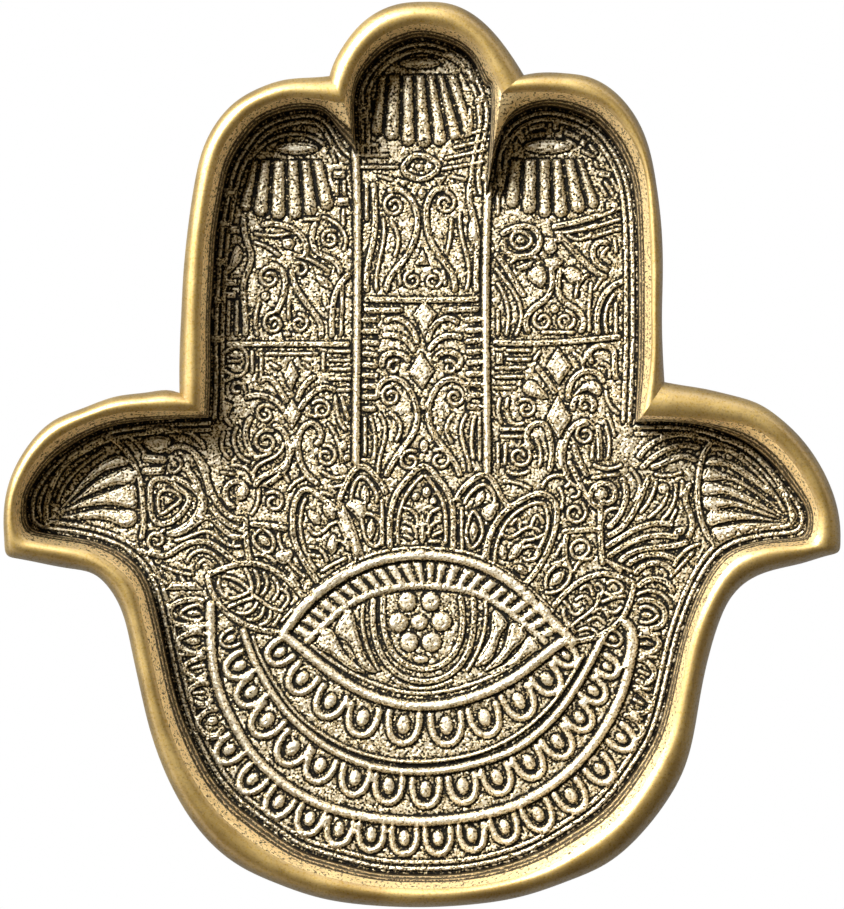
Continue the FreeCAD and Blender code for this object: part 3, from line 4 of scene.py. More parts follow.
import bpy
import numpy as np
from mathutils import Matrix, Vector

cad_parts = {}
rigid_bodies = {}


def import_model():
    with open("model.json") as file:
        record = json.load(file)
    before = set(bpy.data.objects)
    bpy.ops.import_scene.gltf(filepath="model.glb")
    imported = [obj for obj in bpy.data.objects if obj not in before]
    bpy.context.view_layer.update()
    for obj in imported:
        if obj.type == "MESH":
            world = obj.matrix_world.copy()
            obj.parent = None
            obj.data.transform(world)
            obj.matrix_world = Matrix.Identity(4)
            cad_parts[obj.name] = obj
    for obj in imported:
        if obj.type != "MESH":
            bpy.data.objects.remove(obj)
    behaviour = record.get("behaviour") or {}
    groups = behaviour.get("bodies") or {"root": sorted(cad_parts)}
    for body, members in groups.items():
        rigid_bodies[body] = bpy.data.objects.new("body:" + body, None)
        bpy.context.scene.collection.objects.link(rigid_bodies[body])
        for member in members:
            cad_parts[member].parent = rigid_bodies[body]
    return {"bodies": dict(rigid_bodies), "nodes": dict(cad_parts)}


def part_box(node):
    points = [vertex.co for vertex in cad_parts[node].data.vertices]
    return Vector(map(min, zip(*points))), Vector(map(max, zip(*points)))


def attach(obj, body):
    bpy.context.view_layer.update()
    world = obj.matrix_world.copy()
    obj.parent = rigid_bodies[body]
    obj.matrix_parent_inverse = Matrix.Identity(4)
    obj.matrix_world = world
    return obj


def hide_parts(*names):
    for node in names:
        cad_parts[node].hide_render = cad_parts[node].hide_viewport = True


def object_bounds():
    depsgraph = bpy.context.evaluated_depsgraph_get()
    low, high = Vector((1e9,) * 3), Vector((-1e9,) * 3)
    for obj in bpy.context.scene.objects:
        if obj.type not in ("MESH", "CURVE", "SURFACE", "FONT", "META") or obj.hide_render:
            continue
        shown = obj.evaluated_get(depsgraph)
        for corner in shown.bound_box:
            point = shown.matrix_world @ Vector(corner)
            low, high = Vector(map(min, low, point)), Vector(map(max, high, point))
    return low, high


# Hamsa hand dish: a shallow brass casting with a rolled, brushed rim and a floor full of
# raised line work whose hollows hold black patina. Everything is in metres.
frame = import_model()
CAD_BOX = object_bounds()
BODY = list(frame["bodies"])[0]

MM = 0.001
FLOOR_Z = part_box("floor_plate")[1].z
PAD_NODES = ["pad_finger_left", "pad_finger_right", "pad_palm_left", "pad_palm_right"]
PLAIN_NODES = ["floor_plate", "rim_and_wall"] + PAD_NODES
RELIEF_NODES = sorted(set(frame["nodes"]) - set(PLAIN_NODES))
ROUND_NODES = ["divider_left", "divider_right", "eye_lid_upper", "eye_lid_lower",
               "crescent_eye", "crescent_outer", "eye_lashes", "eye_flower",
               "scallops_eye", "scallops_middle", "scallops_outer",
               "left_finger_flutes", "middle_finger_flutes", "right_finger_flutes"]
SANDY_NODES = ["left_finger_flutes", "middle_finger_flutes", "right_finger_flutes"]

# The sculpted floor is worked out on square cells; its mesh has a corner at every second one.
CELL = 0.08 * MM
MESH_STEP = 2
SKIN_MARGIN = 0.5 * MM
REACH = 32
# open ground and groove bottoms above the floor, and how far in a line is fully round
GROUND_RISE = 0.16 * MM
GROOVE_RISE = 0.03 * MM
LINE_ROUND = 0.42 * MM
TUBE_ROUND = 0.80 * MM
# grooves beside the lines, and hairlines cut along the top of the wider lines
GROOVE_WIDTH = 0.29 * MM
HAIR_INSET = 0.42 * MM
HAIR_WIDTH = 0.11 * MM
HAIR_DEPTH = 0.26 * MM
# share of black: least on ridge tops, then what open ground, flanks and reeds hold; the share on the
# flanks is painted shade, not patina
HOLLOW_REACH = 5.0
HOLLOW_DEPTH = 0.20 * MM
LEAST_PATINA = -0.28
GROUND_PATINA = 0.13
# painted shade on the sloping flanks of the lines
FLANK_PAINTED_SHADE = 0.30
SANDY_PATINA = 0.34
SEED = 7


def numbers(items, name, width, kind=np.float32):
    """One property of a Blender collection as rows of numbers."""
    found = np.empty(len(items) * width, kind)
    items.foreach_get(name, found)
    return found.reshape(-1, width)


def top_triangles(node):
    """Corner places of a node's flat top, as triangles."""
    mesh = frame["nodes"][node].data
    mesh.calc_loop_triangles()
    places = numbers(mesh.vertices, "co", 3)
    corners = numbers(mesh.loop_triangles, "vertices", 3, np.int32)
    heights = places[corners][:, :, 2]
    return places[corners[heights.min(1) > places[:, 2].max() - CELL]]


class Grid:
    """Square cells over the floor, with rows along +Y and columns along +X."""

    def __init__(self, node):
        low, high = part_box(node)
        self.x0, self.y0 = low.x - 4 * SKIN_MARGIN, low.y - 4 * SKIN_MARGIN
        self.columns = int((high.x - low.x + 8 * SKIN_MARGIN) / CELL)
        self.rows = int((high.y - low.y + 8 * SKIN_MARGIN) / CELL)
        self.shape = (self.rows, self.columns)

    def inside(self, triangles):
        """True at grid points under the triangles, by counting the edges crossed."""
        flips = np.zeros(self.rows * (self.columns + 1), np.int64)
        x = (triangles[:, :, 0] - self.x0) / CELL
        y = (triangles[:, :, 1] - self.y0) / CELL
        for a, b in ((0, 1), (1, 2), (2, 0)):
            up = y[:, a] <= y[:, b]
            low_x, high_x = np.where(up, x[:, a], x[:, b]), np.where(up, x[:, b], x[:, a])
            low_y, high_y = np.where(up, y[:, a], y[:, b]), np.where(up, y[:, b], y[:, a])
            first = np.ceil(low_y).astype(int)
            count = np.maximum(np.ceil(high_y).astype(int) - first, 0)
            edge = np.repeat(np.arange(len(x)), count)
            row = np.arange(len(edge)) - np.repeat(np.cumsum(count) - count, count) + first[edge]
            along = (row - low_y[edge]) / (high_y - low_y)[edge]
            column = np.ceil(low_x[edge] + along * (high_x - low_x)[edge]).astype(int)
            flips += np.bincount(row * (self.columns + 1) + column, minlength=len(flips))
        crossed = np.cumsum(flips.reshape(self.rows, -1), axis=1)
        return crossed[:, :-1] % 2 == 1


def nearest(seeds, reach):
    """Distance in cells from each cell to the nearest seed, and that seed's flat index."""
    rows, columns = seeds.shape
    row, column = np.indices(seeds.shape, np.float32)
    found = np.where(seeds, np.arange(rows * columns, dtype=np.int32).reshape(seeds.shape), -1)
    best = np.where(seeds, np.float32(0), np.float32(reach * reach))
    step = 1 << (reach - 1).bit_length() - 1
    while step:
        for down in (-step, 0, step):
            for over in (-step, 0, step):
                if down or over:
                    here = (slice(max(0, -down), rows - max(0, down)),
                            slice(max(0, -over), columns - max(0, over)))
                    there = (slice(max(0, down), rows - max(0, -down)),
                             slice(max(0, over), columns - max(0, -over)))
                    seed = found[there]
                    away = (row[here] - seed // columns) ** 2 + (column[here] - seed % columns) ** 2
                    closer = (away < best[here]) & (seed >= 0)
                    best[here] = np.where(closer, away, best[here])
                    found[here] = np.where(closer, seed, found[here])
        step //= 2
    return np.sqrt(best), found


def blurred(values, sigma):
    """Values smoothed with a round bell of that many cells."""
    half = max(1, int(3 * sigma))
    weights = np.exp(-0.5 * (np.arange(-half, half + 1) / sigma) ** 2)
    weights /= weights.sum()
    for axis in (0, 1):
        padding = [(0, 0), (0, 0)]
        padding[axis] = (half, half)
        padded = np.pad(values, padding, mode="edge")
        total = np.zeros_like(values)
        for index, weight in enumerate(weights):
            window = [slice(None), slice(None)]
            window[axis] = slice(index, index + values.shape[axis])
            total += np.float32(weight) * padded[tuple(window)]
        values = total
    return values


def grain(shape, sigma, seed):
    """Even noise with lumps of about that many cells, one unit strong."""
    made = blurred(np.random.default_rng(seed).standard_normal(shape, np.float32), sigma)
    return made / made.std()


def ridge(distance, rounding):
    """Round shoulder: 0 at the edge of a line, 1 where it is as far in as its rounding."""
    share = np.clip(distance / rounding, 0, 1)
    return np.sqrt(1 - (1 - share) ** 2)


def sculpt():
    """Height of the floor over the grid, with the node each cell belongs to."""
    grid = Grid("floor_plate")
    floor = grid.inside(top_triangles("floor_plate"))
    owner = np.full(grid.shape, -1, np.int16)
    tall = np.zeros(grid.shape, np.float32)
    rounding = np.full(grid.shape, LINE_ROUND, np.float32)
    for index, node in enumerate(RELIEF_NODES):
        raised = grid.inside(top_triangles(node))
        owner[raised] = index
        tall[raised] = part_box(node)[1].z - FLOOR_Z
        if node in ROUND_NODES:
            rounding[raised] = TUBE_ROUND
    lines = owner >= 0
    depth, _ = nearest(~lines, REACH)
    away, source = nearest(lines, 4 * REACH)
    nearest_owner = np.where(source >= 0, owner.ravel()[source], -1)
    depth, away = depth * CELL, away * CELL
    shoulder = ridge(depth - 0.5 * CELL, rounding)
    wall = nearest(~floor, REACH)[0] * CELL
    ragged = 0.07 * MM * grain(grid.shape, 1.6, SEED + 2)
    aside = np.maximum(np.minimum(away, wall) + ragged, 0)
    groove = np.exp(-(aside / GROOVE_WIDTH) ** 2)
    ground = GROUND_RISE - (GROUND_RISE - GROOVE_RISE) * groove
    height = np.where(lines, GROOVE_RISE + (tall - GROOVE_RISE) * shoulder, ground)
    hair = np.exp(-((depth + 0.6 * ragged - HAIR_INSET) / HAIR_WIDTH) ** 2) * lines
    hair[np.isin(owner, [RELIEF_NODES.index(node) for node in ROUND_NODES])] = 0
    height = height - HAIR_DEPTH * hair
    height = blurred(height.astype(np.float32), 1.1)
    rough = 0.020 * MM * grain(grid.shape, 2.2, SEED) + 0.022 * MM * grain(grid.shape, 4.5, SEED + 1)
    height = np.maximum(height + rough, 0.01 * MM)
    skin, _ = nearest(floor, 8)
    # the flanks of each line get darker toward its edges: painted shade, kept with the black of
    # grooves and hairlines
    flank = 1 - np.clip(depth / rounding, 0, 1)
    marks = np.where(lines, np.maximum(0.9 * hair, FLANK_PAINTED_SHADE * flank),
                     np.maximum(groove, GROUND_PATINA))
    sandy = np.isin(owner, [RELIEF_NODES.index(node) for node in SANDY_NODES])
    marks[sandy] = np.maximum(marks[sandy], SANDY_PATINA)
    return grid, height, nearest_owner, skin * CELL < SKIN_MARGIN, marks


grid, height, owner, skin, grooves_and_flank_shade = sculpt()


def slopes(values):
    """Upward normals of a height grid."""
    along_y, along_x = np.gradient(values, CELL)
    normals = np.dstack((-along_x, -along_y, np.ones_like(values)))
    return normals / np.linalg.norm(normals, axis=2, keepdims=True)


def patina_and_shade():
    """How much black each cell holds: full in narrow hollows, less than none on ridges, with painted
    shade on the flanks of the lines.
    """
    hollow = (blurred(height, HOLLOW_REACH) - height) / HOLLOW_DEPTH
    return np.minimum(np.clip(0.55 * hollow, LEAST_PATINA, 1) + 0.85 * grooves_and_flank_shade, 1)


normals = slopes(height)
dark = patina_and_shade()


def quad_mesh(name, points, quads):
    """Smooth mesh of four-cornered faces."""
    mesh = bpy.data.meshes.new(name)
    mesh.vertices.add(len(points))
    mesh.vertices.foreach_set("co", points.astype(np.float32).ravel())
    mesh.loops.add(quads.size)
    mesh.loops.foreach_set("vertex_index", quads.astype(np.int32).ravel())
    mesh.polygons.add(len(quads))
    mesh.polygons.foreach_set("loop_start", np.arange(0, quads.size, 4, dtype=np.int32))
    mesh.update(calc_edges=True)
    mesh.validate()
    mesh.shade_smooth()
    return mesh


def set_patina_and_shade(mesh, values):
    """Gives each corner of the mesh its share of black: patina, and on the relief also painted shade
    on the flanks of the lines.
    """
    tone = mesh.attributes.new("patina_and_shade", "FLOAT", "POINT")
    tone.data.foreach_set("value", values.astype(np.float32))


def set_plan(mesh, places):
    """Lays the faces out flat, inside one unit square, for the baked colours."""
    plan = mesh.uv_layers.new(name="OFBake")
    plan.data.foreach_set("uv", places.astype(np.float32).ravel())


def placed(name, mesh):
    """New object of that mesh in the scene."""
    piece = bpy.data.objects.new(name, mesh)
    bpy.context.scene.collection.objects.link(piece)
    return piece


def skin_piece(name, index):
    """The part of the sculpted floor that lies nearest one raised node, as one mesh."""
    step = MESH_STEP
    whole = skin[::step, ::step]
    mine = (owner[::step, ::step] == index) & whole
    cells = mine[:-1, :-1] & whole[:-1, 1:] & whole[1:, :-1] & whole[1:, 1:]
    row, column = np.nonzero(cells)
    width = mine.shape[1]
    corner = row * width + column
    quads = np.stack((corner, corner + 1, corner + width + 1, corner + width), axis=1)
    used, place = np.unique(quads, return_inverse=True)
    at = (used // width * step, used % width * step)
    points = np.stack((grid.x0 + at[1] * CELL, grid.y0 + at[0] * CELL, FLOOR_Z + height[at]), axis=1)
    mesh = quad_mesh(name, points, place.reshape(-1, 4))
    mesh.normals_split_custom_set_from_vertices(normals[at].tolist())
    set_patina_and_shade(mesh, dark[at])
    corners = points[place.ravel(), :2]
    low, high = corners.min(0), corners.max(0)
    set_plan(mesh, (corners - low) / (high - low).max())
    return placed(name, mesh)


# the lines below repeat the outline of the casting, in thousandths of its width and length
U_UNIT = (CAD_BOX[1].x - CAD_BOX[0].x) / 1000
V_UNIT = (CAD_BOX[1].y - CAD_BOX[0].y) / 1000
# outline stations, clockwise from the left notch:
# outside line u, v, then the rim's inner edge u, v, then the wall foot u, v
MIDDLE_TIP_SHARES = [
    (-110, 418, -92, 387, -78, 335),
    (-104, 434, -89, 402, -81, 385),
    (-93, 452, -82, 421, -77, 412),
    (-75, 473, -70, 440, -65, 431),
    (-52, 489, -50, 459, -45, 449),
    (-25, 498, -25, 470, -22, 460),
    (3, 500, 0, 474, 0, 464),
    (32, 498, 30, 469, 28, 459),
    (60, 487, 55, 457, 50, 449),
    (82, 470, 72, 440, 66, 432),
    (100, 450, 84, 420, 78, 410),
    (114, 431, 91, 407, 84, 385),
    (122, 419, 95, 397, 78, 290),
]
RIGHT_FINGER_SHARES = [
    (122, 419, 95, 397, 78, 290),
    (134, 421, 108, 398, 87, 330),
    (152, 422, 125, 399, 97, 362),
    (172, 421, 148, 399, 122, 381),
    (195, 418, 175, 397, 155, 387),
    (218, 409, 198, 391, 188, 380),
    (240, 392, 219, 381, 208, 370),
    (258, 369, 238, 363, 226, 354),
    (271, 340, 255, 338, 244, 327),
    (280, 300, 267, 300, 256, 290),
    (286, 255, 271, 250, 260, 245),
    (288, 200, 273, 200, 261, 200),
    (287, 150, 273, 150, 261, 150),
    (288, 112, 272, 100, 260, 95),
    (290, 80, 263, 43, 257, 36),
]
THUMBS_AND_PALM_SHARES = [
    (290, 80, 263, 43, 257, 36),
    (308, 77, 288, 42, 282, 37),
    (335, 73, 325, 40, 320, 35),
    (368, 66, 358, 37, 350, 29),
    (402, 56, 392, 30, 385, 16),
    (428, 40, 418, 15, 411, -1),
    (450, 21, 438, -4, 429, -18),
    (472, -6, 455, -27, 445, -37),
    (488, -35, 467, -49, 459, -54),
    (497, -62, 472, -66, 464, -68),
    (500, -85, 472, -80, 464, -79),
    (500, -98, 470, -90, 462, -86),
    (498, -107, 465, -96, 457, -91),
    (488, -111, 455, -99, 447, -93),
    (455, -120, 428, -101, 424, -95),
    (415, -129, 397, -106, 392, -100),
    (386, -142, 369, -119, 362, -113),
    (368, -160, 350, -141, 342, -137),
    (356, -183, 336, -166, 328, -164),
    (345, -215, 323, -198, 315, -197),
    (333, -265, 309, -255, 300, -253),
    (325, -308, 297, -304, 286, -302),
    (312, -350, 280, -340, 268, -336),
    (291, -385, 258, -373, 246, -366),
    (262, -419, 230, -404, 219, -395),
    (222, -451, 195, -429, 185, -418),
    (175, -471, 154, -451, 147, -439),
    (120, -488, 105, -467, 101, -456),
    (60, -497, 50, -476, 48, -466),
    (0, -500, -3, -478, -3, -468),
    (-60, -498, -57, -475, -55, -465),
    (-120, -490, -112, -465, -106, -453),
    (-175, -473, -160, -449, -152, -438),
    (-218, -454, -200, -427, -188, -415),
    (-255, -426, -235, -401, -223, -390),
    (-285, -389, -262, -371, -250, -362),
    (-308, -347, -284, -336, -270, -329),
    (-324, -305, -301, -298, -287, -293),
    (-337, -255, -315, -251, -301, -248),
    (-347, -212, -325, -208, -311, -206),
    (-358, -173, -334, -172, -320, -169),
    (-372, -149, -345, -142, -332, -137),
    (-392, -132, -366, -122, -353, -114),
    (-420, -126, -392, -108, -383, -100),
    (-455, -120, -425, -101, -421, -92),
    (-483, -115, -458, -96, -455, -87),
    (-495, -111, -472, -92, -467, -83),
    (-498, -99, -480, -83, -473, -76),
    (-499, -80, -483, -68, -475, -65),
    (-498, -55, -482, -50, -474, -49),
    (-489, -22, -473, -27, -465, -30),
    (-468, 12, -455, -1, -447, -9),
    (-440, 37, -430, 20, -423, 9),
    (-405, 51, -398, 35, -392, 25),
    (-365, 64, -362, 45, -358, 34),
    (-325, 69, -322, 48, -320, 38),
    (-302, 71, -292, 48, -289, 40),
    (-289, 68, -264, 48, -256, 41),
]
LEFT_FINGER_SHARES = [
    (-289, 68, -264, 48, -256, 41),
    (-289, 108, -263, 98, -254, 95),
    (-287, 155, -263, 150, -254, 145),
    (-284, 205, -261, 200, -251, 195),
    (-279, 250, -258, 245, -248, 240),
    (-271, 300, -250, 293, -240, 287),
    (-260, 340, -239, 333, -229, 325),
    (-243, 369, -221, 360, -212, 351),
    (-220, 391, -200, 378, -194, 369),
    (-193, 405, -176, 388, -172, 379),
    (-162, 414, -148, 393, -144, 384),
    (-138, 416, -120, 391, -116, 379),
    (-120, 417, -103, 388, -97, 357),
    (-110, 418, -92, 387, -78, 335),
]
OUTLINE_SPANS = [
    MIDDLE_TIP_SHARES, RIGHT_FINGER_SHARES,
    THUMBS_AND_PALM_SHARES, LEFT_FINGER_SHARES,
]


BASE_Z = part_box("floor_plate")[0].z
TOP_Z = CAD_BOX[1].z
RIM_ROLL = 3.2 * MM
OUTSIDE_WALL_SHARES = [(0.46, 0.0), (0.20, 0.30), (0.06, 0.66)]
RIM_PROFILE_SHARES = [(0.0, 1.0), (0.07, 0.62), (0.20, 0.30), (0.40, 0.07), (0.60, 0.0),
                      (0.84, 0.05), (1.0, 0.20)]
INSIDE_WALL_SHARES = [(0.0, 1.0), (0.40, 0.86), (0.80, 0.48), (1.0, 0.0)]
ALONG_STEP = 0.47 * MM
ACROSS_STEP = 0.34 * MM
BASE_RING_WIDTH = 4 * MM
RIM_WIDTH = 4.5 * MM
WALL_WIDTH = 2.0 * MM
# the rim laid out flat: folded into rows, with a gap between its strips
FOLD = 150 * MM
PLAN_ROW = 34 * MM
PLAN_GAP = 0.5 * MM
PLAN_SIZE = 172 * MM
# thin ridges that run along the inside wall: way down it, how far they stand out
WALL_RIDGES = [(0.48, 0.16 * MM), (0.67, 0.19 * MM), (0.86, 0.20 * MM)]
WALL_RIDGE_WIDTH = 0.05


def smooth(marks, rows, at):
    """Cubic spline through the rows, read at other marks."""
    gap = np.diff(marks)
    rise = np.diff(rows, axis=0) / gap[:, None]
    table = np.eye(len(marks))
    right = np.zeros(rows.shape)
    for i in range(1, len(marks) - 1):
        table[i, i - 1:i + 2] = gap[i], 2 * (gap[i - 1] + gap[i]), gap[i - 1]
        right[i] = 3 * (gap[i] * rise[i - 1] + gap[i - 1] * rise[i])
    right[0] = rise[0] + (rise[0] - rise[1]) * gap[0] / (gap[0] + gap[1])
    right[-1] = rise[-1] + (rise[-1] - rise[-2]) * gap[-1] / (gap[-1] + gap[-2])
    slope = np.linalg.solve(table, right)
    i = np.clip(np.searchsorted(marks, at) - 1, 0, len(marks) - 2)
    g = gap[i][:, None]
    t = (at - marks[i])[:, None] / g
    start = rows[i] * (1 + 2 * t) * (1 - t) ** 2 + slope[i] * g * t * (1 - t) ** 2
    end = rows[i + 1] * t * t * (3 - 2 * t) + slope[i + 1] * g * t * t * (t - 1)
    return start + end


def run(rows):
    """Distance along a row of points."""
    steps = np.linalg.norm(np.diff(rows, axis=0), axis=1)
    return np.concatenate(([0.0], np.cumsum(steps)))


def outline_lines():
    """Fine rows of outside line, inner edge and wall foot for each span, x and y each."""
    spans = []
    for span in OUTLINE_SPANS:
        rows = np.array(span) * np.tile((U_UNIT, V_UNIT), 3)
        marks = run(rows[:, :2])
        count = int(marks[-1] / ALONG_STEP) + 1
        at = np.linspace(0, marks[-1], count)
        spans.append((at, smooth(marks, rows, at)))
    return spans


def across(stations, reach):
    """Fine stations of a section: way across and height, from a few of them."""
    rows = np.array(stations)
    marks = run(rows * (reach, 1.0))
    at = np.linspace(0, marks[-1], int(marks[-1] / ACROSS_STEP) + 1)
    return np.clip(smooth(marks, rows, at), (0.0, BASE_Z), (1.0, TOP_Z)), at


def sections():
    """The three strips of the casting: first column of the pair of lines, stations, run."""
    crest = TOP_Z - RIM_ROLL
    edge = TOP_Z - RIM_ROLL * RIM_PROFILE_SHARES[-1][1]
    outside = [(share, BASE_Z + (crest - BASE_Z) * up) for share, up in OUTSIDE_WALL_SHARES]
    outside += [(share, TOP_Z - RIM_ROLL * drop) for share, drop in RIM_PROFILE_SHARES]
    inside = [(share, FLOOR_Z + (edge - FLOOR_Z) * up) for share, up in INSIDE_WALL_SHARES]
    foot = [(1.0, BASE_Z), (OUTSIDE_WALL_SHARES[0][0], BASE_Z)]
    return [(0, np.array(foot), np.array([0.0, BASE_RING_WIDTH])),
            (0, *across(outside, RIM_WIDTH)), (2, *across(inside, WALL_WIDTH))]


def strip(lines, first, stations):
    """Points of one strip over one span, rows along and columns across."""
    near, far = lines[:, None, first:first + 2], lines[:, None, first + 2:first + 4]
    share = stations[None, :, 0:1]
    flat = near + (far - near) * share
    if first == 2:
        out = far - near
        out /= np.linalg.norm(out, axis=2, keepdims=True)
        for way, stand in WALL_RIDGES:
            flat = flat + out * stand * np.exp(-((share - way) / WALL_RIDGE_WIDTH) ** 2)
    height = np.broadcast_to(stations[None, :, 1:2], flat.shape[:2] + (1,))
    return np.concatenate((flat, height), axis=2)


def wall_patina(way):
    """Black that lies in the hollows beside the wall's ridges."""
    total = np.clip((way - 0.93) / 0.07, 0, 1)
    for ridge_way, _ in WALL_RIDGES:
        total = np.maximum(total, np.exp(-((way - ridge_way - 0.10) / 0.055) ** 2))
    return total


def rim_piece():
    """Rim, outside and inside of the wall as smooth strips."""
    points, quads, marks, plans = [], [], [], []
    count, start = 0, 0.0
    for at, lines in outline_lines():
        offset = 0.0
        for first, stations, over in sections():
            grid_points = strip(lines, first, stations)
            rows, columns = grid_points.shape[:2]
            corner = (np.arange(rows - 1)[:, None] * columns + np.arange(columns - 1)).ravel()
            quad = np.stack((corner, corner + 1, corner + columns + 1, corner + columns), axis=1)
            along = np.repeat(start + at, columns)
            width = np.tile(offset + over, rows)
            inside = np.full(rows * columns, float(first == 2))
            held = np.tile(wall_patina(stations[:, 0]) * (first == 2), rows)
            fold = np.floor(along[quad[:, 0]] / FOLD)
            plans.append(np.stack((along[quad] - fold[:, None] * FOLD,
                                   width[quad] + fold[:, None] * PLAN_ROW), axis=2))
            points.append(grid_points.reshape(-1, 3))
            marks.append(np.stack((along, width, inside, held), axis=1))
            quads.append(quad + count)
            count += rows * columns
            offset += over[-1] + PLAN_GAP
        start += at[-1]
    return points, quads, marks, plans


def rim_mesh(name):
    """Rim and walls as one object, with its place along and across the rim at each corner."""
    points, quads, marks, plans = (np.concatenate(rows) for rows in rim_piece())
    mesh = quad_mesh(name, points, quads)
    place = mesh.attributes.new("run", "FLOAT_VECTOR", "POINT")
    place.data.foreach_set("vector", marks[:, :3].astype(np.float32).ravel())
    set_patina_and_shade(mesh, marks[:, 3])
    set_plan(mesh, plans / PLAN_SIZE)
    return placed(name, mesh)


class Nodes:
    """Short way to write a material's node tree."""

    def __init__(self, name):
        self.material = bpy.data.materials.new(name)
        self.material.use_nodes = True
        self.tree = self.material.node_tree
        self.shader = self.tree.nodes["Principled BSDF"]

    def add(self, kind, **values):
        node = self.tree.nodes.new(kind)
        for key, value in values.items():
            if key in node.inputs and not hasattr(type(node), key):
                self.put(node.inputs[key], value)
            else:
                setattr(node, key, value)
        return node

    def put(self, socket, value):
        if isinstance(value, bpy.types.NodeSocket):
            self.tree.links.new(value, socket)
        else:
            socket.default_value = value

    def maths(self, operation, first, second=0.0, clamp=False):
        node = self.add("ShaderNodeMath", operation=operation, use_clamp=clamp)
        self.put(node.inputs[0], first)
        self.put(node.inputs[1], second)
        return node.outputs[0]

    def mixed(self, share, first, second):
        node = self.add("ShaderNodeMix", data_type="RGBA")
        self.put(node.inputs["Factor"], share)
        self.put(node.inputs["A"], first)
        self.put(node.inputs["B"], second)
        return node.outputs["Result"]

    def scaled(self, value, low, high, to_low=0.0, to_high=1.0):
        node = self.add("ShaderNodeMapRange")
        for socket, given in zip(node.inputs[:5], (value, low, high, to_low, to_high)):
            self.put(socket, given)
        return node.outputs[0]

    def noise(self, size, detail=2.0, roughness=0.5, stretch=None):
        """Noise whose lumps are about that many metres across."""
        place = self.add("ShaderNodeTexCoord").outputs["Object"]
        if stretch:
            mapping = self.add("ShaderNodeMapping")
            self.put(mapping.inputs["Vector"], place)
            self.put(mapping.inputs["Scale"], stretch)
            place = mapping.outputs["Vector"]
        node = self.add("ShaderNodeTexNoise")
        self.put(node.inputs["Vector"], place)
        self.put(node.inputs["Scale"], 1 / size)
        self.put(node.inputs["Detail"], detail)
        self.put(node.inputs["Roughness"], roughness)
        return node.outputs["Fac"]

    def bump(self, height, depth, normal=None):
        node = self.add("ShaderNodeBump")
        self.put(node.inputs["Height"], height)
        self.put(node.inputs["Distance"], depth)
        if normal:
            self.put(node.inputs["Normal"], normal)
        return node.outputs["Normal"]


# relief from its tops to its hollows, then the rim, the inside wall and the pads
PALE_BRASS = (0.95, 0.89, 0.74, 1)
TAN_BRASS = (0.52, 0.39, 0.17, 1)
BLACK_PATINA = (0.007, 0.006, 0.004, 1)
GOLD_BRASS = (0.34, 0.22, 0.050, 1)
BRIGHT_GOLD = (0.50, 0.35, 0.10, 1)
WALL_BRASS = (0.90, 0.70, 0.36, 1)
RIM_GRAIN = (0.24, 0.15, 0.04, 1)
PIT_BROWN = (0.045, 0.028, 0.010, 1)
DARK_RUBBER = (0.02, 0.02, 0.02, 1)
WORN_RUBBER = (0.05, 0.048, 0.045, 1)


def raised_brass():
    """Cast brass with black rubbed into its hollows and worn off its high places, and painted shade
    in tan and black on the flanks of the lines.
    """
    n = Nodes("raised_brass")
    held = n.add("ShaderNodeAttribute", attribute_name="patina_and_shade").outputs["Fac"]
    fine = n.maths("SUBTRACT", n.noise(0.36 * MM, 1.0, 0.5), 0.5)
    # the level holds the patina and the painted shade on the flanks of the lines
    level = n.maths("ADD", held, n.maths("MULTIPLY", fine, 3.0))
    black = n.scaled(level, 0.20, 0.44)
    coarse = n.maths("MULTIPLY", n.noise(1.4 * MM, 3.0, 0.6), 0.4)
    tan = n.scaled(n.maths("ADD", level, coarse), -0.10, 0.50)
    colour = n.mixed(tan, PALE_BRASS, TAN_BRASS)
    colour = n.mixed(black, colour, BLACK_PATINA)
    n.put(n.shader.inputs["Base Color"], colour)
    n.put(n.shader.inputs["Metallic"], n.scaled(black, 0.0, 1.0, 1.0, 0.0))
    n.put(n.shader.inputs["Specular IOR Level"], n.scaled(black, 0.0, 1.0, 0.5, 0.12))
    n.put(n.shader.inputs["Roughness"], n.scaled(level, 0.0, 1.0, 0.50, 0.75))
    n.put(n.shader.inputs["Normal"], n.bump(n.noise(0.34 * MM, 2.0, 0.6), 0.14 * MM))
    return n.material


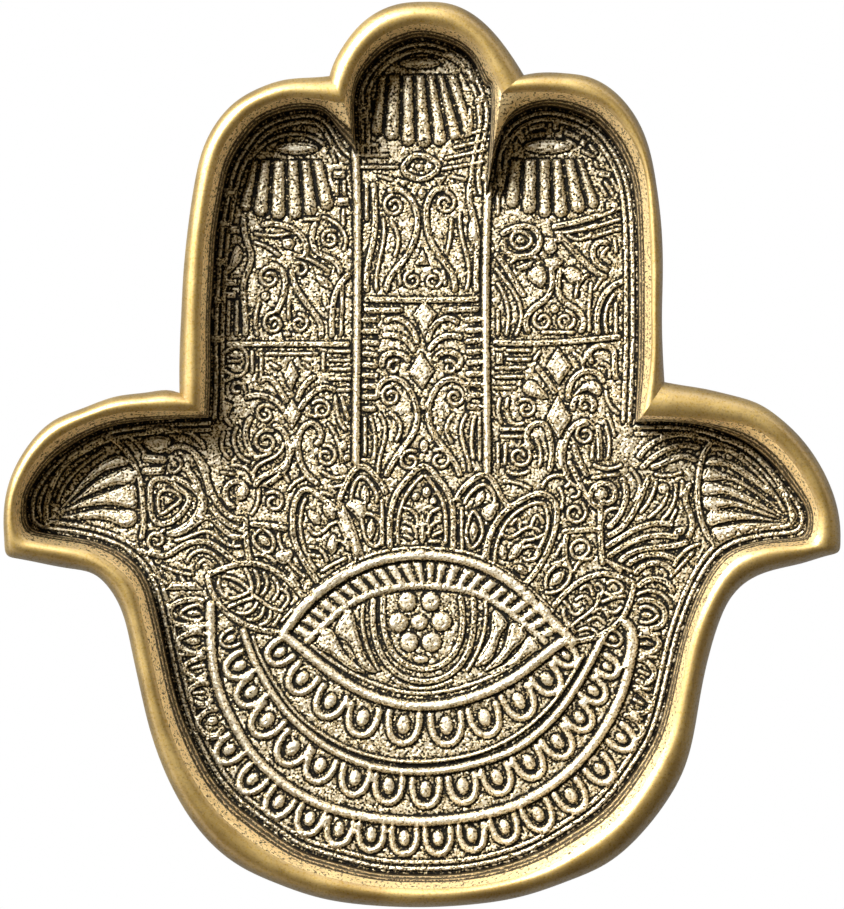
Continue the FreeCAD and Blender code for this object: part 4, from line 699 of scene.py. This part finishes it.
def rim_brass():
    """Brushed golden brass on the rim, sandy cast brass with dark pits down the wall."""
    n = Nodes("rim_brass")
    marks = n.add("ShaderNodeAttribute", attribute_name="run").outputs["Vector"]
    parts = n.add("ShaderNodeSeparateXYZ")
    n.put(parts.inputs[0], marks)
    wall = parts.outputs["Z"]
    brush = n.add("ShaderNodeMapping")
    n.put(brush.inputs["Vector"], marks)
    n.put(brush.inputs["Scale"], (0.16, 3.0, 0.0))
    hair = n.add("ShaderNodeTexNoise")
    n.put(hair.inputs["Vector"], brush.outputs["Vector"])
    n.put(hair.inputs["Scale"], 1 / (0.5 * MM))
    n.put(hair.inputs["Detail"], 3.0)
    streak = hair.outputs["Fac"]
    sand = n.noise(0.45 * MM, 2.0, 0.65)
    place = n.add("ShaderNodeSeparateXYZ")
    n.put(place.inputs[0], n.add("ShaderNodeTexCoord").outputs["Object"])
    low = n.scaled(place.outputs["Z"], FLOOR_Z, FLOOR_Z + 2.2 * MM, 0.22, 0.0)
    held = n.add("ShaderNodeAttribute", attribute_name="patina_and_shade").outputs["Fac"]
    low = n.maths("ADD", low, n.maths("MULTIPLY", held, 0.35))
    pits = n.scaled(n.maths("ADD", sand, low), 0.52, 0.64)
    cloud = n.noise(11 * MM, 3.0, 0.6)
    gold = n.mixed(n.scaled(cloud, 0.35, 0.65), GOLD_BRASS, BRIGHT_GOLD)
    gold = n.mixed(n.scaled(n.noise(0.36 * MM, 2.0, 0.6), 0.52, 0.78), gold, RIM_GRAIN)
    cast = n.mixed(pits, WALL_BRASS, PIT_BROWN)
    n.put(n.shader.inputs["Base Color"], n.mixed(wall, gold, cast))
    n.put(n.shader.inputs["Metallic"], 1.0)
    satin = n.scaled(n.maths("ADD", streak, cloud), 0.6, 1.4, 0.46, 0.60)
    n.put(n.shader.inputs["Roughness"], n.maths("MAXIMUM", satin, n.maths("MULTIPLY", wall, 0.52)))
    n.put(n.shader.inputs["Coat Weight"], n.scaled(pits, 0.0, 1.0, 1.0, 0.2))
    n.put(n.shader.inputs["Coat Roughness"], n.scaled(cloud, 0.35, 0.65, 0.30, 0.40))
    n.put(n.shader.inputs["Coat IOR"], 2.1)
    brushed = n.bump(streak, 0.012 * MM)
    sandy = n.bump(n.maths("MULTIPLY", sand, wall), 0.16 * MM, brushed)
    n.put(n.shader.inputs["Normal"], sandy)
    return n.material


def rubber():
    """Soft grey rubber of the pads."""
    n = Nodes("pad_rubber")
    n.put(n.shader.inputs["Base Color"], n.mixed(n.noise(2 * MM, 4.0), DARK_RUBBER, WORN_RUBBER))
    n.put(n.shader.inputs["Roughness"], n.scaled(n.noise(0.8 * MM), 0.3, 0.7, 0.6, 0.85))
    n.put(n.shader.inputs["Normal"], n.bump(n.noise(0.4 * MM, 3.0), 0.03 * MM))
    return n.material


def dress(node, material):
    """Gives a CAD node the material in all its slots."""
    mesh = frame["nodes"][node].data
    mesh.materials.clear()
    mesh.materials.append(material)


def stand_in(piece, node, material):
    """Lets a piece take the place of a CAD node."""
    piece.data.materials.append(material)
    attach(piece, BODY)
    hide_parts(node)


def dress_dish():
    """Sculpted relief, smooth rim, floor and pads."""
    raised, rim, pads = raised_brass(), rim_brass(), rubber()
    for index, node in enumerate(RELIEF_NODES):
        stand_in(skin_piece(node + "_carving", index), node, raised)
    stand_in(rim_mesh("rim_and_wall_casting"), "rim_and_wall", rim)
    dress("floor_plate", rim)
    for node in PAD_NODES:
        dress(node, pads)


dress_dish()


def stage_floor():
    """Pale floor that looks white to the camera and in reflections."""
    bpy.ops.mesh.primitive_plane_add(size=6)
    floor = bpy.context.object
    floor.name = "floor"
    n = Nodes("studio_floor")
    n.put(n.shader.inputs["Base Color"], (0.85, 0.85, 0.85, 1))
    n.put(n.shader.inputs["Roughness"], 0.9)
    path = n.add("ShaderNodeLightPath")
    seen = n.maths("MAXIMUM", path.outputs["Is Camera Ray"], path.outputs["Is Glossy Ray"])
    seen = n.maths("MAXIMUM", seen, path.outputs["Is Transmission Ray"])
    glow = n.add("ShaderNodeEmission")
    n.put(glow.inputs["Strength"], n.scaled(path.outputs["Is Camera Ray"], 0.0, 1.0, 0.35, 1.0))
    blend = n.add("ShaderNodeMixShader")
    n.put(blend.inputs[0], seen)
    n.put(blend.inputs[1], n.shader.outputs[0])
    n.put(blend.inputs[2], glow.outputs[0])
    n.put(n.tree.nodes["Material Output"].inputs["Surface"], blend.outputs[0])
    floor.data.materials.append(n.material)


def lamp(name, place, size, power):
    """Square softbox that faces the dish."""
    light = bpy.data.lights.new(name, "AREA")
    light.size = size
    light.energy = power
    holder = bpy.data.objects.new(name, light)
    holder.location = place
    holder.rotation_euler = (-Vector(place)).to_track_quat("-Z", "Y").to_euler()
    bpy.context.scene.collection.objects.link(holder)


# the glow fades out with height, and is strongest toward the left and the back
GLOW_FULL, GLOW_HIGHEST = 0.35, 0.60
GLOW_X, GLOW_Y, GLOW_EVEN = -0.30, 0.40, 0.45


class SkyNodes(Nodes):
    """The same short way for the light all round."""

    def __init__(self, tree):
        self.tree = tree


def world(colour, strength, glow):
    """Warm light from all round, with a white glow low down on the left and at the back."""
    made = bpy.data.worlds.new("studio")
    made.use_nodes = True
    n = SkyNodes(made.node_tree)
    way = n.add("ShaderNodeSeparateXYZ")
    n.put(way.inputs[0], n.add("ShaderNodeTexCoord").outputs["Generated"])
    low = n.scaled(way.outputs["Z"], GLOW_HIGHEST, GLOW_FULL)
    side = n.maths("ADD", n.maths("MULTIPLY", way.outputs["X"], GLOW_X),
                   n.maths("MULTIPLY", way.outputs["Y"], GLOW_Y))
    share = n.maths("MULTIPLY", low, n.maths("ADD", side, GLOW_EVEN, clamp=True))
    background = n.tree.nodes["Background"]
    n.put(background.inputs["Color"], n.mixed(share, colour, (1, 1, 1, 1)))
    n.put(background.inputs["Strength"], n.scaled(share, 0.0, 1.0, strength, glow))
    bpy.context.scene.world = made


# the picture is 844 by 909, and the hand fills it from 1 to 842 and from 1 to 908
PICTURE = (844, 909)
HAND_LEFT, HAND_RIGHT = 1, 842
LENS, SENSOR = 200.0, 36.0


def camera():
    """Long lens straight above the dish, framed as in the photograph."""
    low, high = CAD_BOX
    pixel = (high.x - low.x) / (HAND_RIGHT - HAND_LEFT)
    shown = pixel * max(PICTURE)
    made = bpy.data.cameras.new("camera")
    made.lens = LENS
    made.sensor_width = SENSOR
    holder = bpy.data.objects.new("camera", made)
    away = shown * LENS / SENSOR
    middle = (low + high) / 2
    holder.location = (middle.x, middle.y, high.z + away)
    bpy.context.scene.collection.objects.link(holder)
    bpy.context.scene.camera = holder


stage_floor()
world((1.0, 0.80, 0.50, 1), 0.14, 2.6)
lamp("key", (-0.42, 0.50, 0.54), 0.40, 18.5)
lamp("low", (-0.72, 0.46, 0.16), 0.40, 7.0)
camera()
bpy.context.scene.view_settings.view_transform = "Standard"
